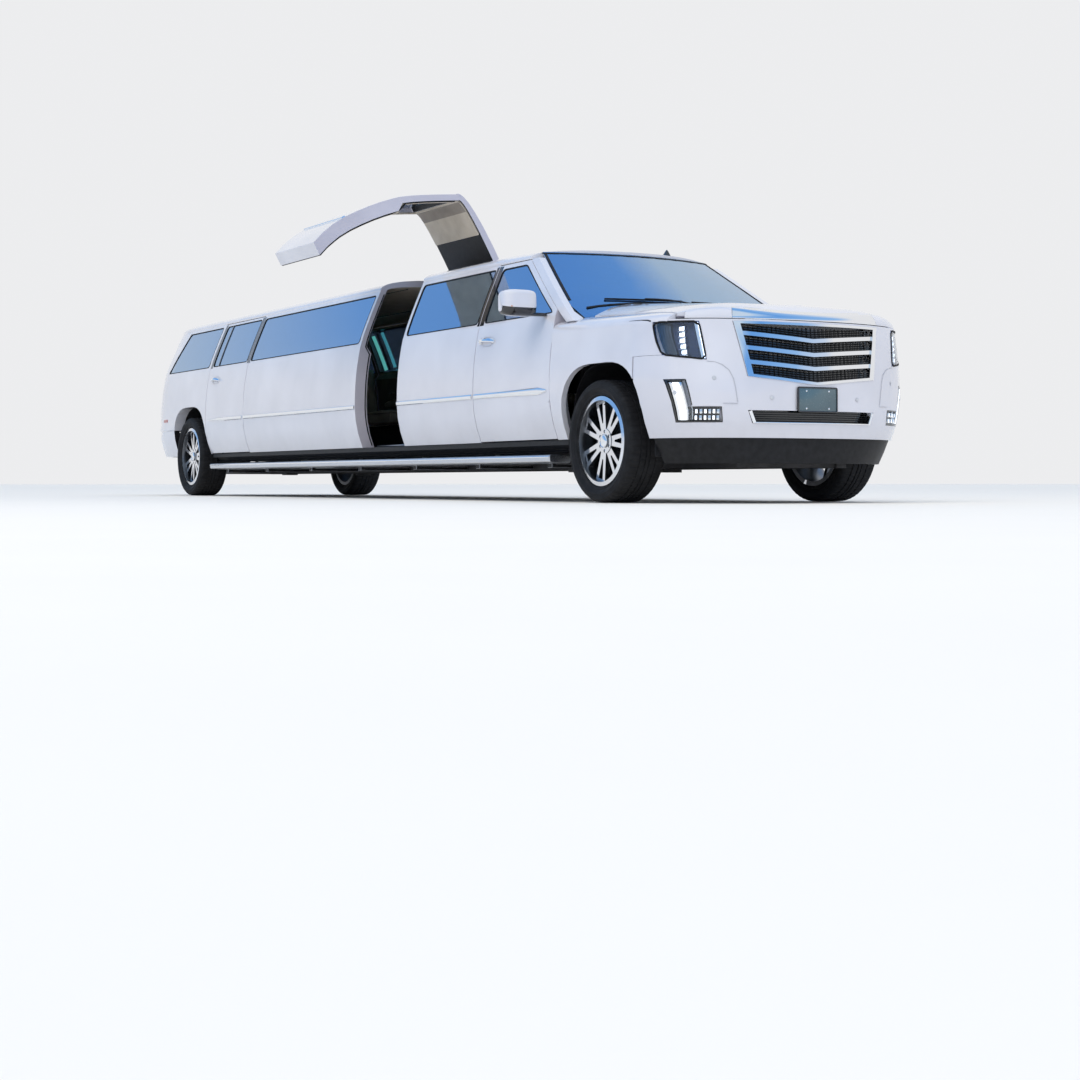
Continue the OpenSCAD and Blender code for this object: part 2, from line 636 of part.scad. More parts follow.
// Front doors, hung at their leading edge; the window frame follows the pillar
function pillar_line(z) = screen_x(z) - pillar_w - shut_gap;
pillar_foot = screen_base_z + (screen_base - pillar_w - shut_gap - front_door_f) / screen_lean;
door_low = sill_z + shut_gap;
door_high = rail_z - shut_gap;
front_door_outline = [[front_door_r - over, door_low], [front_door_f + 1, door_low], [front_door_f + 1,
    pillar_foot],
    [pillar_line(door_high), door_high], [front_door_r - over, door_high]];
function front_window(inset) = soft([[front_door_r + 62 + inset, window_low + inset],
    [pillar_line(window_low) - 78 - inset * 2, window_low + inset],
    [pillar_line(window_high - 8) - 78 - inset * 2, window_high - 8 - inset],
    [front_door_r + 62 + inset, window_high - 8 - inset]], window_round);
// Hinges of the hung doors: a pin just under the skin, carried by a lug on the fixed wall ahead of the door
hinge_inset = 12;
hinge_y = half_width - hinge_inset;
hinge_zs = [700, 900];
hinge_pin_r = 4;
module hinge_pins(xf) for (z = hinge_zs) translate([xf - hinge_inset, -hinge_y, z]) {
    cylinder(h = 80, r = hinge_pin_r, center = true);
    linear_extrude(18, center = true)
        polygon([[-3.6, 1.7], [-1.7, -3.6], [3.6, -1.7], [shut_gap + hinge_inset + 4, 39],
            [shut_gap + hinge_inset + 4, 56]]);
}
// Bores, pockets and the rounded leading edge that let a door turn on its pins
module hinge_cuts(xf) translate([xf - hinge_inset, -hinge_y, 0]) {
    for (z = hinge_zs) translate([0, 0, z]) {
        cylinder(h = 84, r = hinge_pin_r + run_gap, center = true);
        linear_extrude(28, center = true)
            polygon([[-6, -2], [-2, -6], [3, -6.4], [60, -6.4], [60, 72], [14, 72], [-6, 6]]);
    }
    difference() {
        translate([0, -60, 0]) cube([over, 60, 2000]);
        cylinder(h = 2000, r = hinge_inset);
    }
}

// Wall of a hung door: its trailing edge slants forward towards the cabin, so that it swings clear
door_slant = 0.29;
module door_wall(xr, xf) panel([xr, xf], wall_zs,
    function(x, z) [x, -side_half(x, z), z],
    function(x, z) [x == xr ? x + door_slant * wall(z) : x, -side_half(x, z) + wall(z), z]);
module front_door() difference() {
    intersection() {
        door_wall(front_door_r, front_door_f);
        through_side(front_door_outline);
    }
    through_side(front_window(0));
    hinge_cuts(front_door_f);
}
module front_glass() side_pane([front_door_r, front_door_f], front_window(0.5));
module front_door_right() color("white") front_door();
module front_door_left() color("white") mirror([0, 1, 0]) front_door();
module front_glass_right() color("black") front_glass();
module front_glass_left() color("black") mirror([0, 1, 0]) front_glass();

// Mirror on an arm from the door's window corner
module mirror_head() translate([front_door_f - 150, -belt_half, belt_z - 6]) {
    translate([-40, -110, 6]) cube([80, 150, 26]);
    translate([0, -75, 95]) rotate([90, 0, 0]) linear_extrude(265)
        polygon(soft([[-58, -92], [40, -92], [64, -40], [50, 92], [-58, 92]], 24, 4));
}
module mirror_right() color("gray") difference() {
    mirror_head();
    side_wall([front_door_r, front_door_f]);
}
module mirror_left() color("gray") mirror([0, 1, 0]) mirror_right();

// Rear side doors
module rear_door() difference() {
    door_wall(rear_door_r, rear_door_f);
    through_side([[rear_door_r - over, 0], [rear_door_f + over, 0], [rear_door_f + over, door_low],
        [rear_door_r - over, door_low]]);
    through_side([[rear_door_r - over, door_high], [rear_door_f + over, door_high],
        [rear_door_f + over, 2000],
        [rear_door_r - over, 2000]]);
    through_side(window(rear_door_r + 60, rear_door_f - 50));
    hinge_cuts(rear_door_f);
}
module rear_glass() side_pane([rear_door_r, rear_door_f], window(rear_door_r + 60, rear_door_f - 50, 0,
    0, 0.5));
module rear_door_right() color("white") rear_door();
module rear_door_left() color("white") mirror([0, 1, 0]) rear_door();
module rear_glass_right() color("black") rear_glass();
module rear_glass_left() color("black") mirror([0, 1, 0]) rear_glass();

// Roof-hinged door, drawn shut and turned up about its hinge line
module wing_turn() translate([0, wing_hinge_y, wing_hinge_z]) rotate([-wing_open, 0, 0])
    translate([0, -wing_hinge_y, -wing_hinge_z]) children();
// Section of the wing door from the sill over the rail to the hinge
function wing_point(x, v, depth) = v <= 1
    ? let (z = lerp(door_low, rail_z, v)) [x, -side_half(x, z) + min(1, depth) * wall(z), z]
    : roof_point(x, (v - 1) * 90, depth * roof_t);
wing_vs = concat([for (z = wall_zs) (max(z, door_low) - door_low) / (rail_z - door_low)],
    [for (a = [3, 8, 15, 24, 35, 48, 62, 76, 90, 96]) 1 + a / 90]);
module wing_door() color("white") wing_turn() difference() {
    union() {
        difference() {
            panel([wing_x0, wing_x1], wing_vs, function(x, v) wing_point(x, v, 0), function(x, v)
                wing_point(x, v, 1));
            translate([wing_x0 - over, wing_hinge_y - 30, window_high]) cube([wing_span, half_width, 600]);
        }
        for (x = wing_sleeves) translate([x - 60, wing_hinge_y, wing_hinge_z]) rotate([0, 90, 0])
            cylinder(h = 120, r = wing_sleeve_r);
        for (x = wing_sleeves) translate([x - 60, wing_hinge_y - 60, wing_hinge_z - 34]) cube([120, 60,
            16]);
    }
    through_side(window(wing_x0 + 60, wing_x1 - 60), 0);
    translate([wing_x0 - over, wing_hinge_y, wing_hinge_z]) rotate([0, 90, 0]) cylinder(h = wing_span,
        r = wing_pin_r + run_gap);
}
wing_span = wing_x1 - wing_x0 + 2 * over;
module wing_glass() color("black") wing_turn()
    side_pane([wing_x0, wing_x1], window(wing_x0 + 60, wing_x1 - 60, 0, 0, 0.5));

// Trim panel on the inside of the wing door
module wing_liner() color("tan") wing_turn() difference() {
    panel([wing_x0 + 14, wing_x1 - 14], [for (v = wing_vs) if (v > 0.06 && v < 1.84) v],
        function(x, v) liner_point(x, v, seat_gap, seat_gap), function(x, v) liner_point(x, v, 14, 12));
    through_side(window(wing_x0 + 60, wing_x1 - 60, 0, 0, -4), 0);
}
function liner_point(x, v, side, top) = let (p = wing_point(x, v, 1))
    v <= 1 ? [x, p[1] + side, p[2]] : [x, p[1] + side * 0.7, p[2] - top];

// Ladder frame with cross members, jack pads, front wheel arms and rear spring seats
kingpin_inset = 72.5;
kingpin_y = wheel_y - kingpin_inset;
kingpin_r = 14;
module chassis_frame() color("dimgray") {
    both_sides() {
        translate([tail_x + 160, -rail_y - rail_w / 2, frame_low]) cube([nose_x - tail_x - 420, rail_w,
            frame_high - frame_low]);
        for (x = [axle_f - 1300, axle_r + 1300]) translate([x - 60, -rail_y - 60, frame_low - 20])
            cube([120, 120, 20 + seat_gap]);
        front_arm(262, 36, 170);
        front_arm(520, 30, 110);
        translate([axle_f - 90, -rail_y - 40, frame_high - 1]) cube([180, 60, 205]);
        translate([axle_r - 60, -rail_y - 40, frame_high - 1]) cube([120, 80, hub_z - frame_high - 40]);
    }
    for (x = frame_crosses) translate([x - 40, -rail_y, frame_low + 1]) cube([80, 2 * rail_y, 32]);
    for (x = outriggers) both_sides()
        translate([x - 50, -floor_half, frame_high - 1]) cube([100, floor_half - rail_y + 40,
            floor_z - floor_t - frame_high + 1 - seat_gap]);
}
outriggers = steps(axle_r + 900, axle_f - 900, 5);
frame_crosses = concat(steps(tail_x + 260, axle_f - 700, 8), [axle_f + 420, nose_x - 320]);
// Wishbone from the rail to the kingpin, with the pin that the knuckle turns on
module front_arm(z, t, half) {
    translate([axle_f, 0, z]) linear_extrude(t)
        polygon([[-half, -rail_y], [half, -rail_y], [18, -kingpin_y - 2], [-18, -kingpin_y - 2]]);
    translate([axle_f, -kingpin_y, z]) cylinder(h = t, r = 20);
    translate([axle_f, -kingpin_y, z > hub_z ? z - 34 : z + t - 1]) cylinder(h = 35, r = kingpin_r);
}

module floor_pan() color("gray") {
    translate([axle_r + arch_half + 56, -floor_half, floor_z - floor_t])
        cube([wheelbase - 2 * arch_half - 112 - seat_gap, 2 * floor_half, floor_t]);
    translate([axle_r + arch_half + 16 + seat_gap, -floor_half, floor_z - floor_t]) cube([floor_t,
        2 * floor_half, rear_floor_z - floor_z + floor_t]);
    translate([tail_x + 130, -540, rear_floor_z - floor_t]) cube([rear_overhang + arch_half - 90, 1080,
        floor_t]);
    translate([tail_x + 200, -floor_half, rear_floor_z - floor_t])
        cube([rear_overhang - arch_half - 230, 2 * floor_half, floor_t]);
    both_sides() translate([axle_r - 500, -440, frame_high + seat_gap]) cube([120, 80,
        rear_floor_z - floor_t - frame_high + 1]);
}

// Wall between the engine and the cabin, with the tray below the windscreen
module bulkhead() color("dimgray") {
    translate([axle_f - arch_half - 56, -floor_half, floor_z - floor_t]) cube([40 - seat_gap,
        2 * floor_half, 800]);
    translate([axle_f - arch_half - 56, -700, 1200]) cube([arch_half - 100, 1400, 30.6]);
    for (y = [-hood_hinge_y, hood_hinge_y]) hood_hinge(y);
}
// Arm from the tray to the pin that the hood turns on
module hood_hinge(y) translate([hood_hinge_x, y, hood_hinge_z]) rotate([90, 0, 0]) {
    linear_extrude(12, center = true)
        polygon([[128, -130], [168, -130], [150, -52], [12, 5], [-7, 5], [-9, -7], [22, -34], [128, -76]]);
    cylinder(h = 70, r = lid_pin_r, center = true);
}

// Sills below the doors and walls
rocker_x0 = axle_r + arch_half + 16 + seat_gap;
rocker_len = wheelbase - 2 * arch_half - 32;
rocker_low_z = 345;
module rocker_panels() color("black") both_sides() difference() {
    translate([rocker_x0, -sill_half + 14, rocker_low_z]) cube([rocker_len,
        sill_half - 14 - floor_half - seat_gap, sill_z - rocker_low_z - seat_gap]);
    translate([rocker_x0 - 1, -sill_half - 20, 300]) rotate([32, 0, 0]) cube([rocker_len + 2, 120, 60]);
}

// Running boards on brackets from the rails
board_x0 = axle_r + arch_half + 150;
board_len = wheelbase - 2 * arch_half - 290;
module running_boards() color("silver") both_sides() {
    translate([board_x0, 0, 0]) rotate([90, 0, 90]) linear_extrude(board_len)
        polygon(soft([[-half_width + 8, 276], [-half_width + 170, 268], [-half_width + 180, 322],
            [-half_width + 4, 326]], 12, 3));
    for (x = steps(board_x0 + 200, board_x0 + board_len - 200, 6))
        translate([x - 30, -half_width + 120, 240]) cube([60,
            half_width - 120 - rail_y - 40 - seat_gap, 20]);
    for (x = steps(board_x0 + 200, board_x0 + board_len - 200, 6))
        translate([x - 30, -half_width + 120, 240]) cube([60, 40, 50]);
}

// Linings of the wheel arches, with an apron towards the frame
module wheel_liner(x, inner) difference() {
    through_side(arch(x, 15.5), inner, 902);
    through_side(arch(x, 7), inner + 8, 1000);
    translate([x - 800, -1100, -300]) cube([1600, 1100, 600]);
    translate([x - 130, -700, 0]) cube([260, 400, hub_z + 190]);
}
module wheel_liners() color("black") both_sides() {
    wheel_liner(axle_f, 500);
    wheel_liner(axle_r, 560);
}

// Engine as one block with the gearbox and the shaft to the rear axle
shaft_z = 300;
module power_unit() color("gray") {
    translate([axle_f - 440, -290, frame_high]) cube([900, 580, 600]);
    translate([axle_f - 340, -rail_y - 20, frame_high]) cube([240, 2 * rail_y + 40, 40]);
    translate([axle_f - 1500, 0, shaft_z + 30]) rotate([0, 90, 0]) cylinder(h = 1100, r = 60);
    translate([axle_r + 220 + seat_gap, 0, shaft_z]) rotate([0, 90, 0])
        cylinder(h = wheelbase - 1670, r = 32);
}

module exhaust() color("silver") {
    translate([axle_r + 620, -600, 306]) rotate([0, 90, 0]) cylinder(h = wheelbase - 2000, r = 34);
    translate([axle_r + 2300, -680, 268]) cube([900, 150, 80]);
    for (x = outriggers) translate([x - 20, -612, 330]) cube([40, 24, frame_high - 331 - seat_gap]);
}
module fuel_tank() color("black") translate([axle_r + 950, 470, 264]) cube([1500, 300,
    frame_high - 265 - seat_gap]);

// Rear axle with its spindles, brake calipers and differential
module rear_axle() color("dimgray") {
    translate([axle_r, 0, hub_z]) rotate([90, 0, 0]) cylinder(h = 2 * wheel_y - 130, r = 40, center = true);
    translate([axle_r, 0, hub_z]) sphere(r = 138);
    translate([axle_r + 120, 0, hub_z - 60]) rotate([0, 90, 0]) cylinder(h = 100, r = 60);
    both_sides() translate([axle_r, -wheel_y, hub_z]) rotate([90, 0, 0]) {
        spindle();
        caliper();
        brake_plate();
    }
}

// Spindle and caliper, along an axis that points out of the wheel
module spindle() translate([0, 0, -80]) cylinder(h = 140, r = 35 - run_gap);
module brake_plate() {
    translate([0, 0, -76]) cylinder(h = 16, r = 92);
    translate([-150, -56, -76]) cube([110, 112, 16]);
}
module caliper() difference() {
    intersection() {
        translate([0, 0, -76]) cylinder(h = 92, r = 236);
        translate([-260, -80, -76]) cube([160, 160, 92]);
    }
    translate([0, 0, -52]) cylinder(h = 40, r = 182);
    translate([0, 0, -20]) cylinder(h = 40, r = 140);
}

// Knuckle on the kingpin, with the spindle, the caliper and its bracket
module knuckle() translate([axle_f, -wheel_y, hub_z]) rotate([90, 0, 0]) difference() {
    union() {
        spindle();
        caliper();
        brake_plate();
        translate([-38, 304 - hub_z, -kingpin_inset - 38]) cube([76, 209, 46]);
        translate([-38, 304 - hub_z, -110]) cube([76, 209, 60]);
    }
    translate([0, 0, -kingpin_inset]) rotate([90, 0, 0]) cylinder(h = 500, r = kingpin_r + run_gap,
        center = true);
}
module knuckle_right() color("dimgray") knuckle();
module knuckle_left() color("dimgray") mirror([0, 1, 0]) knuckle();

// Tyre and rim about an axis that points out of the wheel
half_tread = tyre_w / 2;
seat_r = rim_r - 17;
bead_half = 108;
module tyre() rotate_extrude() difference() {
    polygon(soft([[seat_r, -bead_half], [rim_r + 2, -bead_half], [rim_r + 10, -half_tread + 10],
        [lerp(rim_r, tyre_r, 0.45), -half_tread - 6], [tyre_r, -half_tread + 12],
        [tyre_r, half_tread - 12], [lerp(rim_r, tyre_r, 0.45), half_tread + 6],
        [rim_r + 10, half_tread - 10], [rim_r + 2, bead_half], [seat_r, bead_half]], 8, 3));
    polygon(soft([[seat_r - 20, -84], [lerp(rim_r, tyre_r, 0.45), -half_tread + 20], [tyre_r - 26,
        -half_tread + 34],
        [tyre_r - 26, half_tread - 34], [lerp(rim_r, tyre_r, 0.45), half_tread - 20], [seat_r - 20,
            84]], 8, 3));
}
barrel_r = seat_r - seat_gap;
module rim() difference() {
    union() {
        rotate_extrude() polygon([[barrel_r - 14, -124], [rim_r, -124], [rim_r, -113], [barrel_r,
            -109], [barrel_r, 109],
            [rim_r, 113], [rim_r, 122], [barrel_r - 10, 128], [barrel_r - 16, 100], [barrel_r - 14, 40]]);
        for (i = [0:spokes - 1]) rotate(i * 360 / spokes) split_spoke();
        translate([0, 0, 30]) cylinder(h = 64, r = 84);
        translate([0, 0, 90]) cylinder(h = 12, r = 44);
        // Hat and brake disc behind the spokes
        translate([0, 0, -30]) cylinder(h = 66, r = 79);
        translate([0, 0, -46]) cylinder(h = 28, r = 175);
    }
    translate([0, 0, -60]) cylinder(h = 122, r = 35);
    for (i = [0:5]) rotate(i * 60 + 30) translate([64, 0, 66]) cylinder(h = 40, r = 11);
}
// One spoke, split by a slot that widens towards the barrel
module split_spoke() difference() {
    translate([0, 0, 52]) linear_extrude(38) polygon([[70, -30], [barrel_r - 10, -58], [barrel_r - 10,
        58], [70, 30]]);
    translate([0, 0, 40]) linear_extrude(80)
        polygon(soft([[122, -6], [barrel_r - 26, -27], [barrel_r - 26, 27], [122, 6]], 5, 2));
}
module at_wheel(x, side) translate([x, side * wheel_y, hub_z]) rotate([-side * 90, 0, 0]) children();
module tyre_front_right() color("black") at_wheel(axle_f, -1) tyre();
module tyre_front_left() color("black") at_wheel(axle_f, 1) tyre();
module tyre_rear_right() color("black") at_wheel(axle_r, -1) tyre();
module tyre_rear_left() color("black") at_wheel(axle_r, 1) tyre();
module rim_front_right() color("silver") at_wheel(axle_f, -1) rim();
module rim_front_left() color("silver") at_wheel(axle_f, 1) rim();
module rim_rear_right() color("silver") at_wheel(axle_r, -1) rim();
module rim_rear_left() color("silver") at_wheel(axle_r, 1) rim();

// Dashboard across the cab, with the wheel on its column
dash_f = axle_f - arch_half - 56;
module dashboard() color("dimgray") {
    translate([0, -floor_half + 20, 0]) rotate([90, 0, 0]) mirror([0, 0, 1])
        linear_extrude(2 * floor_half - 40)
        polygon(soft([[dash_f - seat_gap, 760], [dash_f - seat_gap, 1195], [dash_f - 300, 1215],
            [dash_f - 420, 1130],
            [dash_f - 400, 980], [dash_f - 260, 760]], 40));
    translate([dash_f - 395, 390, 1040]) rotate([0, -66, 0]) {
        cylinder(h = 190, r = 30);
        translate([0, 0, 180]) rotate_extrude() translate([178, 0]) circle(r = 16);
        translate([0, 0, 172]) cylinder(h = 16, r = 70);
        for (a = [0, 120, 240]) rotate(a + 90) translate([40, -18, 174]) cube([135, 36, 12]);
    }
}

// One chair or bench: a cushion and a back on a base that stands on the floor
module seat(width, depth, base, back)
    rotate([90, 0, 0]) translate([0, 0, -width / 2]) linear_extrude(width)
        polygon(soft([[0, 0], [depth - 30, 0], [depth, base - 80], [depth - 50, base], [190, base - 20],
            [70, back], [-70, back - 10], [-10, base - 40]], 28, 3));
seat_x = axle_f - 1720;
module front_seats() color("tan")
    for (y = [-400, 400]) translate([seat_x, y, floor_z]) seat(520, 560, 400, 930);

// Lounge: a long bench on the left and one across the rear
module lounge_seats() color("tan") {
    translate([lerp(rear_door_f, wing_f, 0.55), floor_half - 200, floor_z]) rotate([0, 0, -90])
        seat(wing_f - rear_door_f - 300, 520, 400, 860);
    translate([rear_door_r + 230, 0, floor_z]) seat(1480, 600, 400, 880);
}
module bar_cabinet() color("saddlebrown") difference() {
    translate([wing_f + 130, -floor_half + 40, floor_z]) cube([front_door_r - wing_f - 320, 420, 560]);
    translate([wing_f + 180, -floor_half + 160, floor_z + 330]) cube([front_door_r - wing_f - 420, 400,
        190]);
}

chassis_frame();
floor_pan();
bulkhead();
rocker_panels();
running_boards();
wheel_liners();
fenders();
front_bumper();
front_carrier();
grille();
front_lamps();
windscreen();
roof();
pillars();
side_front_right();
side_rear_right();
side_left();
quarter_panels();
fixed_glass();
tail_lamps();
rear_bumper();
power_unit();
exhaust();
fuel_tank();
rear_axle();
dashboard();
front_seats();
lounge_seats();
bar_cabinet();
hood();
tailgate();
tailgate_glass();
front_door_right();
front_door_left();
front_glass_right();
front_glass_left();
mirror_right();
mirror_left();
rear_door_right();
rear_door_left();
rear_glass_right();
rear_glass_left();
wing_door();
wing_glass();
wing_liner();
knuckle_right();
knuckle_left();
tyre_front_right();
tyre_front_left();
tyre_rear_right();
tyre_rear_left();
rim_front_right();
rim_front_left();
rim_rear_right();
rim_rear_left();
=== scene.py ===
"""Stretch limousine with a roof-hinged door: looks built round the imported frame."""
import json
import math
import bmesh
import bpy
from mathutils import Matrix, Vector
from mathutils.bvhtree import BVHTree

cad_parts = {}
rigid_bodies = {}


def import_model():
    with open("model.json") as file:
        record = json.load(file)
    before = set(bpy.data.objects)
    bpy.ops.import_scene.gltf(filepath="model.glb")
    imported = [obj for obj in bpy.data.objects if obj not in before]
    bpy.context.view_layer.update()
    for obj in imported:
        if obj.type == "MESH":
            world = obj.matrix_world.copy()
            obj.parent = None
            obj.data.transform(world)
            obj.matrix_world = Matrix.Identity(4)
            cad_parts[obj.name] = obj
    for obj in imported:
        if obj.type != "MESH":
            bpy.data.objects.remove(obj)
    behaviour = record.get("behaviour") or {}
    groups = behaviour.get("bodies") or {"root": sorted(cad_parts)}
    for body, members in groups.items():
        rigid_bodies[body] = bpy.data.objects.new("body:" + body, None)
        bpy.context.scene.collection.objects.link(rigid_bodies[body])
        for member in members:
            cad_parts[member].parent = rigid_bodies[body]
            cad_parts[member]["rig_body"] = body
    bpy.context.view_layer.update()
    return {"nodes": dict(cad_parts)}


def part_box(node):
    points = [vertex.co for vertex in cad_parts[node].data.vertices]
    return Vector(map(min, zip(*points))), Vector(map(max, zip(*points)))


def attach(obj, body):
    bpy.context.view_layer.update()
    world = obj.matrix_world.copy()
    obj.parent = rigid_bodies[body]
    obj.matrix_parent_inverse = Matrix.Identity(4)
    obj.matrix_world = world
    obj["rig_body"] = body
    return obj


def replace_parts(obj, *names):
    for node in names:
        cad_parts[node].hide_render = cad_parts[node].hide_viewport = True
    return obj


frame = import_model()
NODES = frame["nodes"]
SCENE = bpy.context.scene

# Places on the car, in metres
AXLE_F, AXLE_R = 4.191, -4.191
NOSE_X, TAIL_X = 5.221, -5.560
NOSE_START, TAIL_START = 4.601, -4.681
HALF, SILL_HALF, BELT_HALF, RAIL_HALF = 1.022, 0.950, 0.968, 0.782
SILL_Z, WIDE_Z, BELT_Z, RAIL_Z = 0.430, 0.780, 1.292, 1.765
FLOOR_Z = 0.440
WINDOW_LOW, WINDOW_HIGH = 1.314, 1.737
WING_HINGE, WING_OPEN = (-0.020, 1.889), math.radians(62)
HUB_Z, WHEEL_Y = 0.408, 0.8725
RIGHT, LEFT = -1, 1
SIDES = (("right", RIGHT), ("left", LEFT))
WING_DOOR = (0.175, 1.024)
WING_SPAN = (WING_DOOR[0] + 0.007, WING_DOOR[1] - 0.007)
WING_MID = 0.5995
WING_AXIS = Vector((0, *WING_HINGE))
WING_LIFT, WING_LOWER = (Matrix.Rotation(way * WING_OPEN, 3, "X") for way in (-1, 1))
# Ends of the black window frames, and their heights
FRONT_POST, REAR_POSTS = 2.443, (-3.595, -2.605)
WALL_FRONT, WALL_REAR = 2.335, -2.509
FRAME_LOW, FRAME_HIGH = 1.300, 1.752
# The windscreen's foot, its slope and the way it faces
SCREEN_X, SCREEN_Z, SCREEN_RUN = 3.811, 1.238, 1.61
SCREEN_OUT = Vector((0.53, 0, 0.85))
# Heights of the side moulding, the hood's front lip and the tailgate's wiper
MOULDING_Z, LIP_Z, TAIL_WIPER_Z = 0.772, 1.166, 1.352
# Edges of the solids sharper than this are rounded
BEVEL_FROM = math.radians(30)


# Materials

def shader(name, color=(0.5, 0.5, 0.5), rough=0.5, metal=0.0, **more):
    """A new material with its node tree and its Principled shader."""
    mat = bpy.data.materials.new(name)
    mat.use_nodes = True
    tree = mat.node_tree
    bsdf = tree.nodes["Principled BSDF"]
    bsdf.inputs["Base Color"].default_value = (*color, 1)
    bsdf.inputs["Roughness"].default_value = rough
    bsdf.inputs["Metallic"].default_value = metal
    for key, value in more.items():
        bsdf.inputs[key.replace("_", " ")].default_value = value
    mat.diffuse_color = (*color, 1)
    return mat, tree, bsdf


def node(tree, kind, **values):
    """A node of that kind, with inputs by name and settings by attribute."""
    made = tree.nodes.new(kind)
    for key, value in values.items():
        label = key.replace("_", " ")
        if label in made.inputs:
            made.inputs[label].default_value = value
        else:
            setattr(made, key, value)
    return made


def noise(tree, scale, detail=3.0, rough=0.5, stretch=None):
    """Noise in the part's own metres, stretched where a grain runs one way, as a socket."""
    where = node(tree, "ShaderNodeTexCoord").outputs["Object"]
    made = node(tree, "ShaderNodeTexNoise", Scale=scale, Detail=detail, Roughness=rough)
    if stretch:
        mapping = node(tree, "ShaderNodeMapping", Scale=stretch)
        tree.links.new(where, mapping.inputs["Vector"])
        where = mapping.outputs["Vector"]
    tree.links.new(where, made.inputs["Vector"])
    return made.outputs["Fac"]


def ramp(tree, source, stops):
    """Colour ramp from (place, colour) stops, driven by the source socket."""
    made = node(tree, "ShaderNodeValToRGB")
    bar = made.color_ramp
    while len(bar.elements) < len(stops):
        bar.elements.new(0.5)
    for element, (place, color) in zip(bar.elements, stops):
        element.position = place
        element.color = (*color, 1)
    tree.links.new(source, made.inputs["Fac"])
    return made.outputs["Color"]


def sums(tree, operation, *values, **settings):
    """A math node over sockets and numbers, as a socket."""
    made = node(tree, "ShaderNodeMath", operation=operation, **settings)
    for socket, value in zip(made.inputs, values):
        if isinstance(value, (int, float)):
            socket.default_value = value
        else:
            tree.links.new(value, socket)
    return made.outputs[0]


def span(tree, source, low, high, to_low, to_high):
    """Maps a value from one range to another."""
    made = node(tree, "ShaderNodeMapRange")
    for key, value in zip(("From Min", "From Max", "To Min", "To Max"), (low, high, to_low, to_high)):
        made.inputs[key].default_value = value
    tree.links.new(source, made.inputs["Value"])
    return made.outputs["Result"]


def bump(tree, bsdf, height, strength, distance=0.001):
    made = node(tree, "ShaderNodeBump", Strength=strength, Distance=distance)
    tree.links.new(height, made.inputs["Height"])
    tree.links.new(made.outputs["Normal"], bsdf.inputs["Normal"])


def tinted(tree, bsdf, scale, dark, light, detail=3.0):
    """Base colour that wanders between two tones."""
    tone = ramp(tree, noise(tree, scale, detail), [(0.3, dark), (0.7, light)])
    tree.links.new(tone, bsdf.inputs["Base Color"])


def rough_range(tree, bsdf, scale, low, high, stretch=None):
    fac = noise(tree, scale, 4.0, stretch=stretch)
    tree.links.new(span(tree, fac, 0.3, 0.7, low, high), bsdf.inputs["Roughness"])
    return fac


def make_paint(name, dark, light, dust, rough=0.22):
    """Clear-coated paint with fine flake, and road dust low on the body."""
    mat, tree, bsdf = shader(name, light, rough, Coat_Weight=1.0, Coat_Roughness=0.03)
    flake = noise(tree, 2.2, 2.0)
    tone = ramp(tree, flake, [(0.3, dark), (0.7, light)])
    where = node(tree, "ShaderNodeTexCoord")
    split = node(tree, "ShaderNodeSeparateXYZ")
    tree.links.new(where.outputs["Object"], split.inputs["Vector"])
    low = span(tree, split.outputs["Z"], 0.36, 0.62, dust, 0.0)
    grime = noise(tree, 14.0, 5.0, 0.65)
    mixed = node(tree, "ShaderNodeMix", data_type="RGBA")
    tree.links.new(sums(tree, "MULTIPLY", low, grime), mixed.inputs["Factor"])
    tree.links.new(tone, mixed.inputs["A"])
    mixed.inputs["B"].default_value = (0.36, 0.31, 0.26, 1)
    tree.links.new(mixed.outputs["Result"], bsdf.inputs["Base Color"])
    fine = noise(tree, 900.0, 1.0)
    tree.links.new(span(tree, fine, 0.3, 0.7, rough - 0.04, rough + 0.05), bsdf.inputs["Roughness"])
    return mat


def make_glass(name, color, rough, film=0.0):
    """Window glass that lets part of the light through; film is the share of a mirrored tint."""
    mat, tree, bsdf = shader(name, color, rough, film, Transmission_Weight=1.0, IOR=1.52)
    rough_range(tree, bsdf, 6.0, rough, rough + 0.03, (1, 1, 4))
    return mat


def make_metal(name, color, low, high, scale=20.0, stretch=None, depth=0.0):
    mat, tree, bsdf = shader(name, color, low, 1.0)
    fac = rough_range(tree, bsdf, scale, low, high, stretch)
    if depth:
        bump(tree, bsdf, fac, depth, 0.0004)
    return mat


def make_grain(name, dark, light, rough, scale, depth, **more):
    """Moulded plastic, rubber or cast metal: a speckled tone over a fine grain."""
    mat, tree, bsdf = shader(name, light, rough, **more)
    tinted(tree, bsdf, scale * 0.02, dark, light)
    fine = noise(tree, scale, 2.0)
    bump(tree, bsdf, fine, depth)
    tree.links.new(span(tree, fine, 0.3, 0.7, rough - 0.08, rough + 0.08), bsdf.inputs["Roughness"])
    return mat


def make_leather(name, dark, light):
    """Pebbled leather: cells for the grain, with worn tone and sheen."""
    mat, tree, bsdf = shader(name, light, 0.45, Coat_Weight=0.08, Coat_Roughness=0.35)
    tinted(tree, bsdf, 5.0, dark, light, 5.0)
    where = node(tree, "ShaderNodeTexCoord")
    cells = node(tree, "ShaderNodeTexVoronoi", feature="DISTANCE_TO_EDGE", Scale=330.0)
    tree.links.new(where.outputs["Object"], cells.inputs["Vector"])
    height = span(tree, cells.outputs["Distance"], 0.0, 0.25, 0.0, 1.0)
    bump(tree, bsdf, height, 0.35, 0.0006)
    rough_range(tree, bsdf, 60.0, 0.38, 0.55)
    return mat


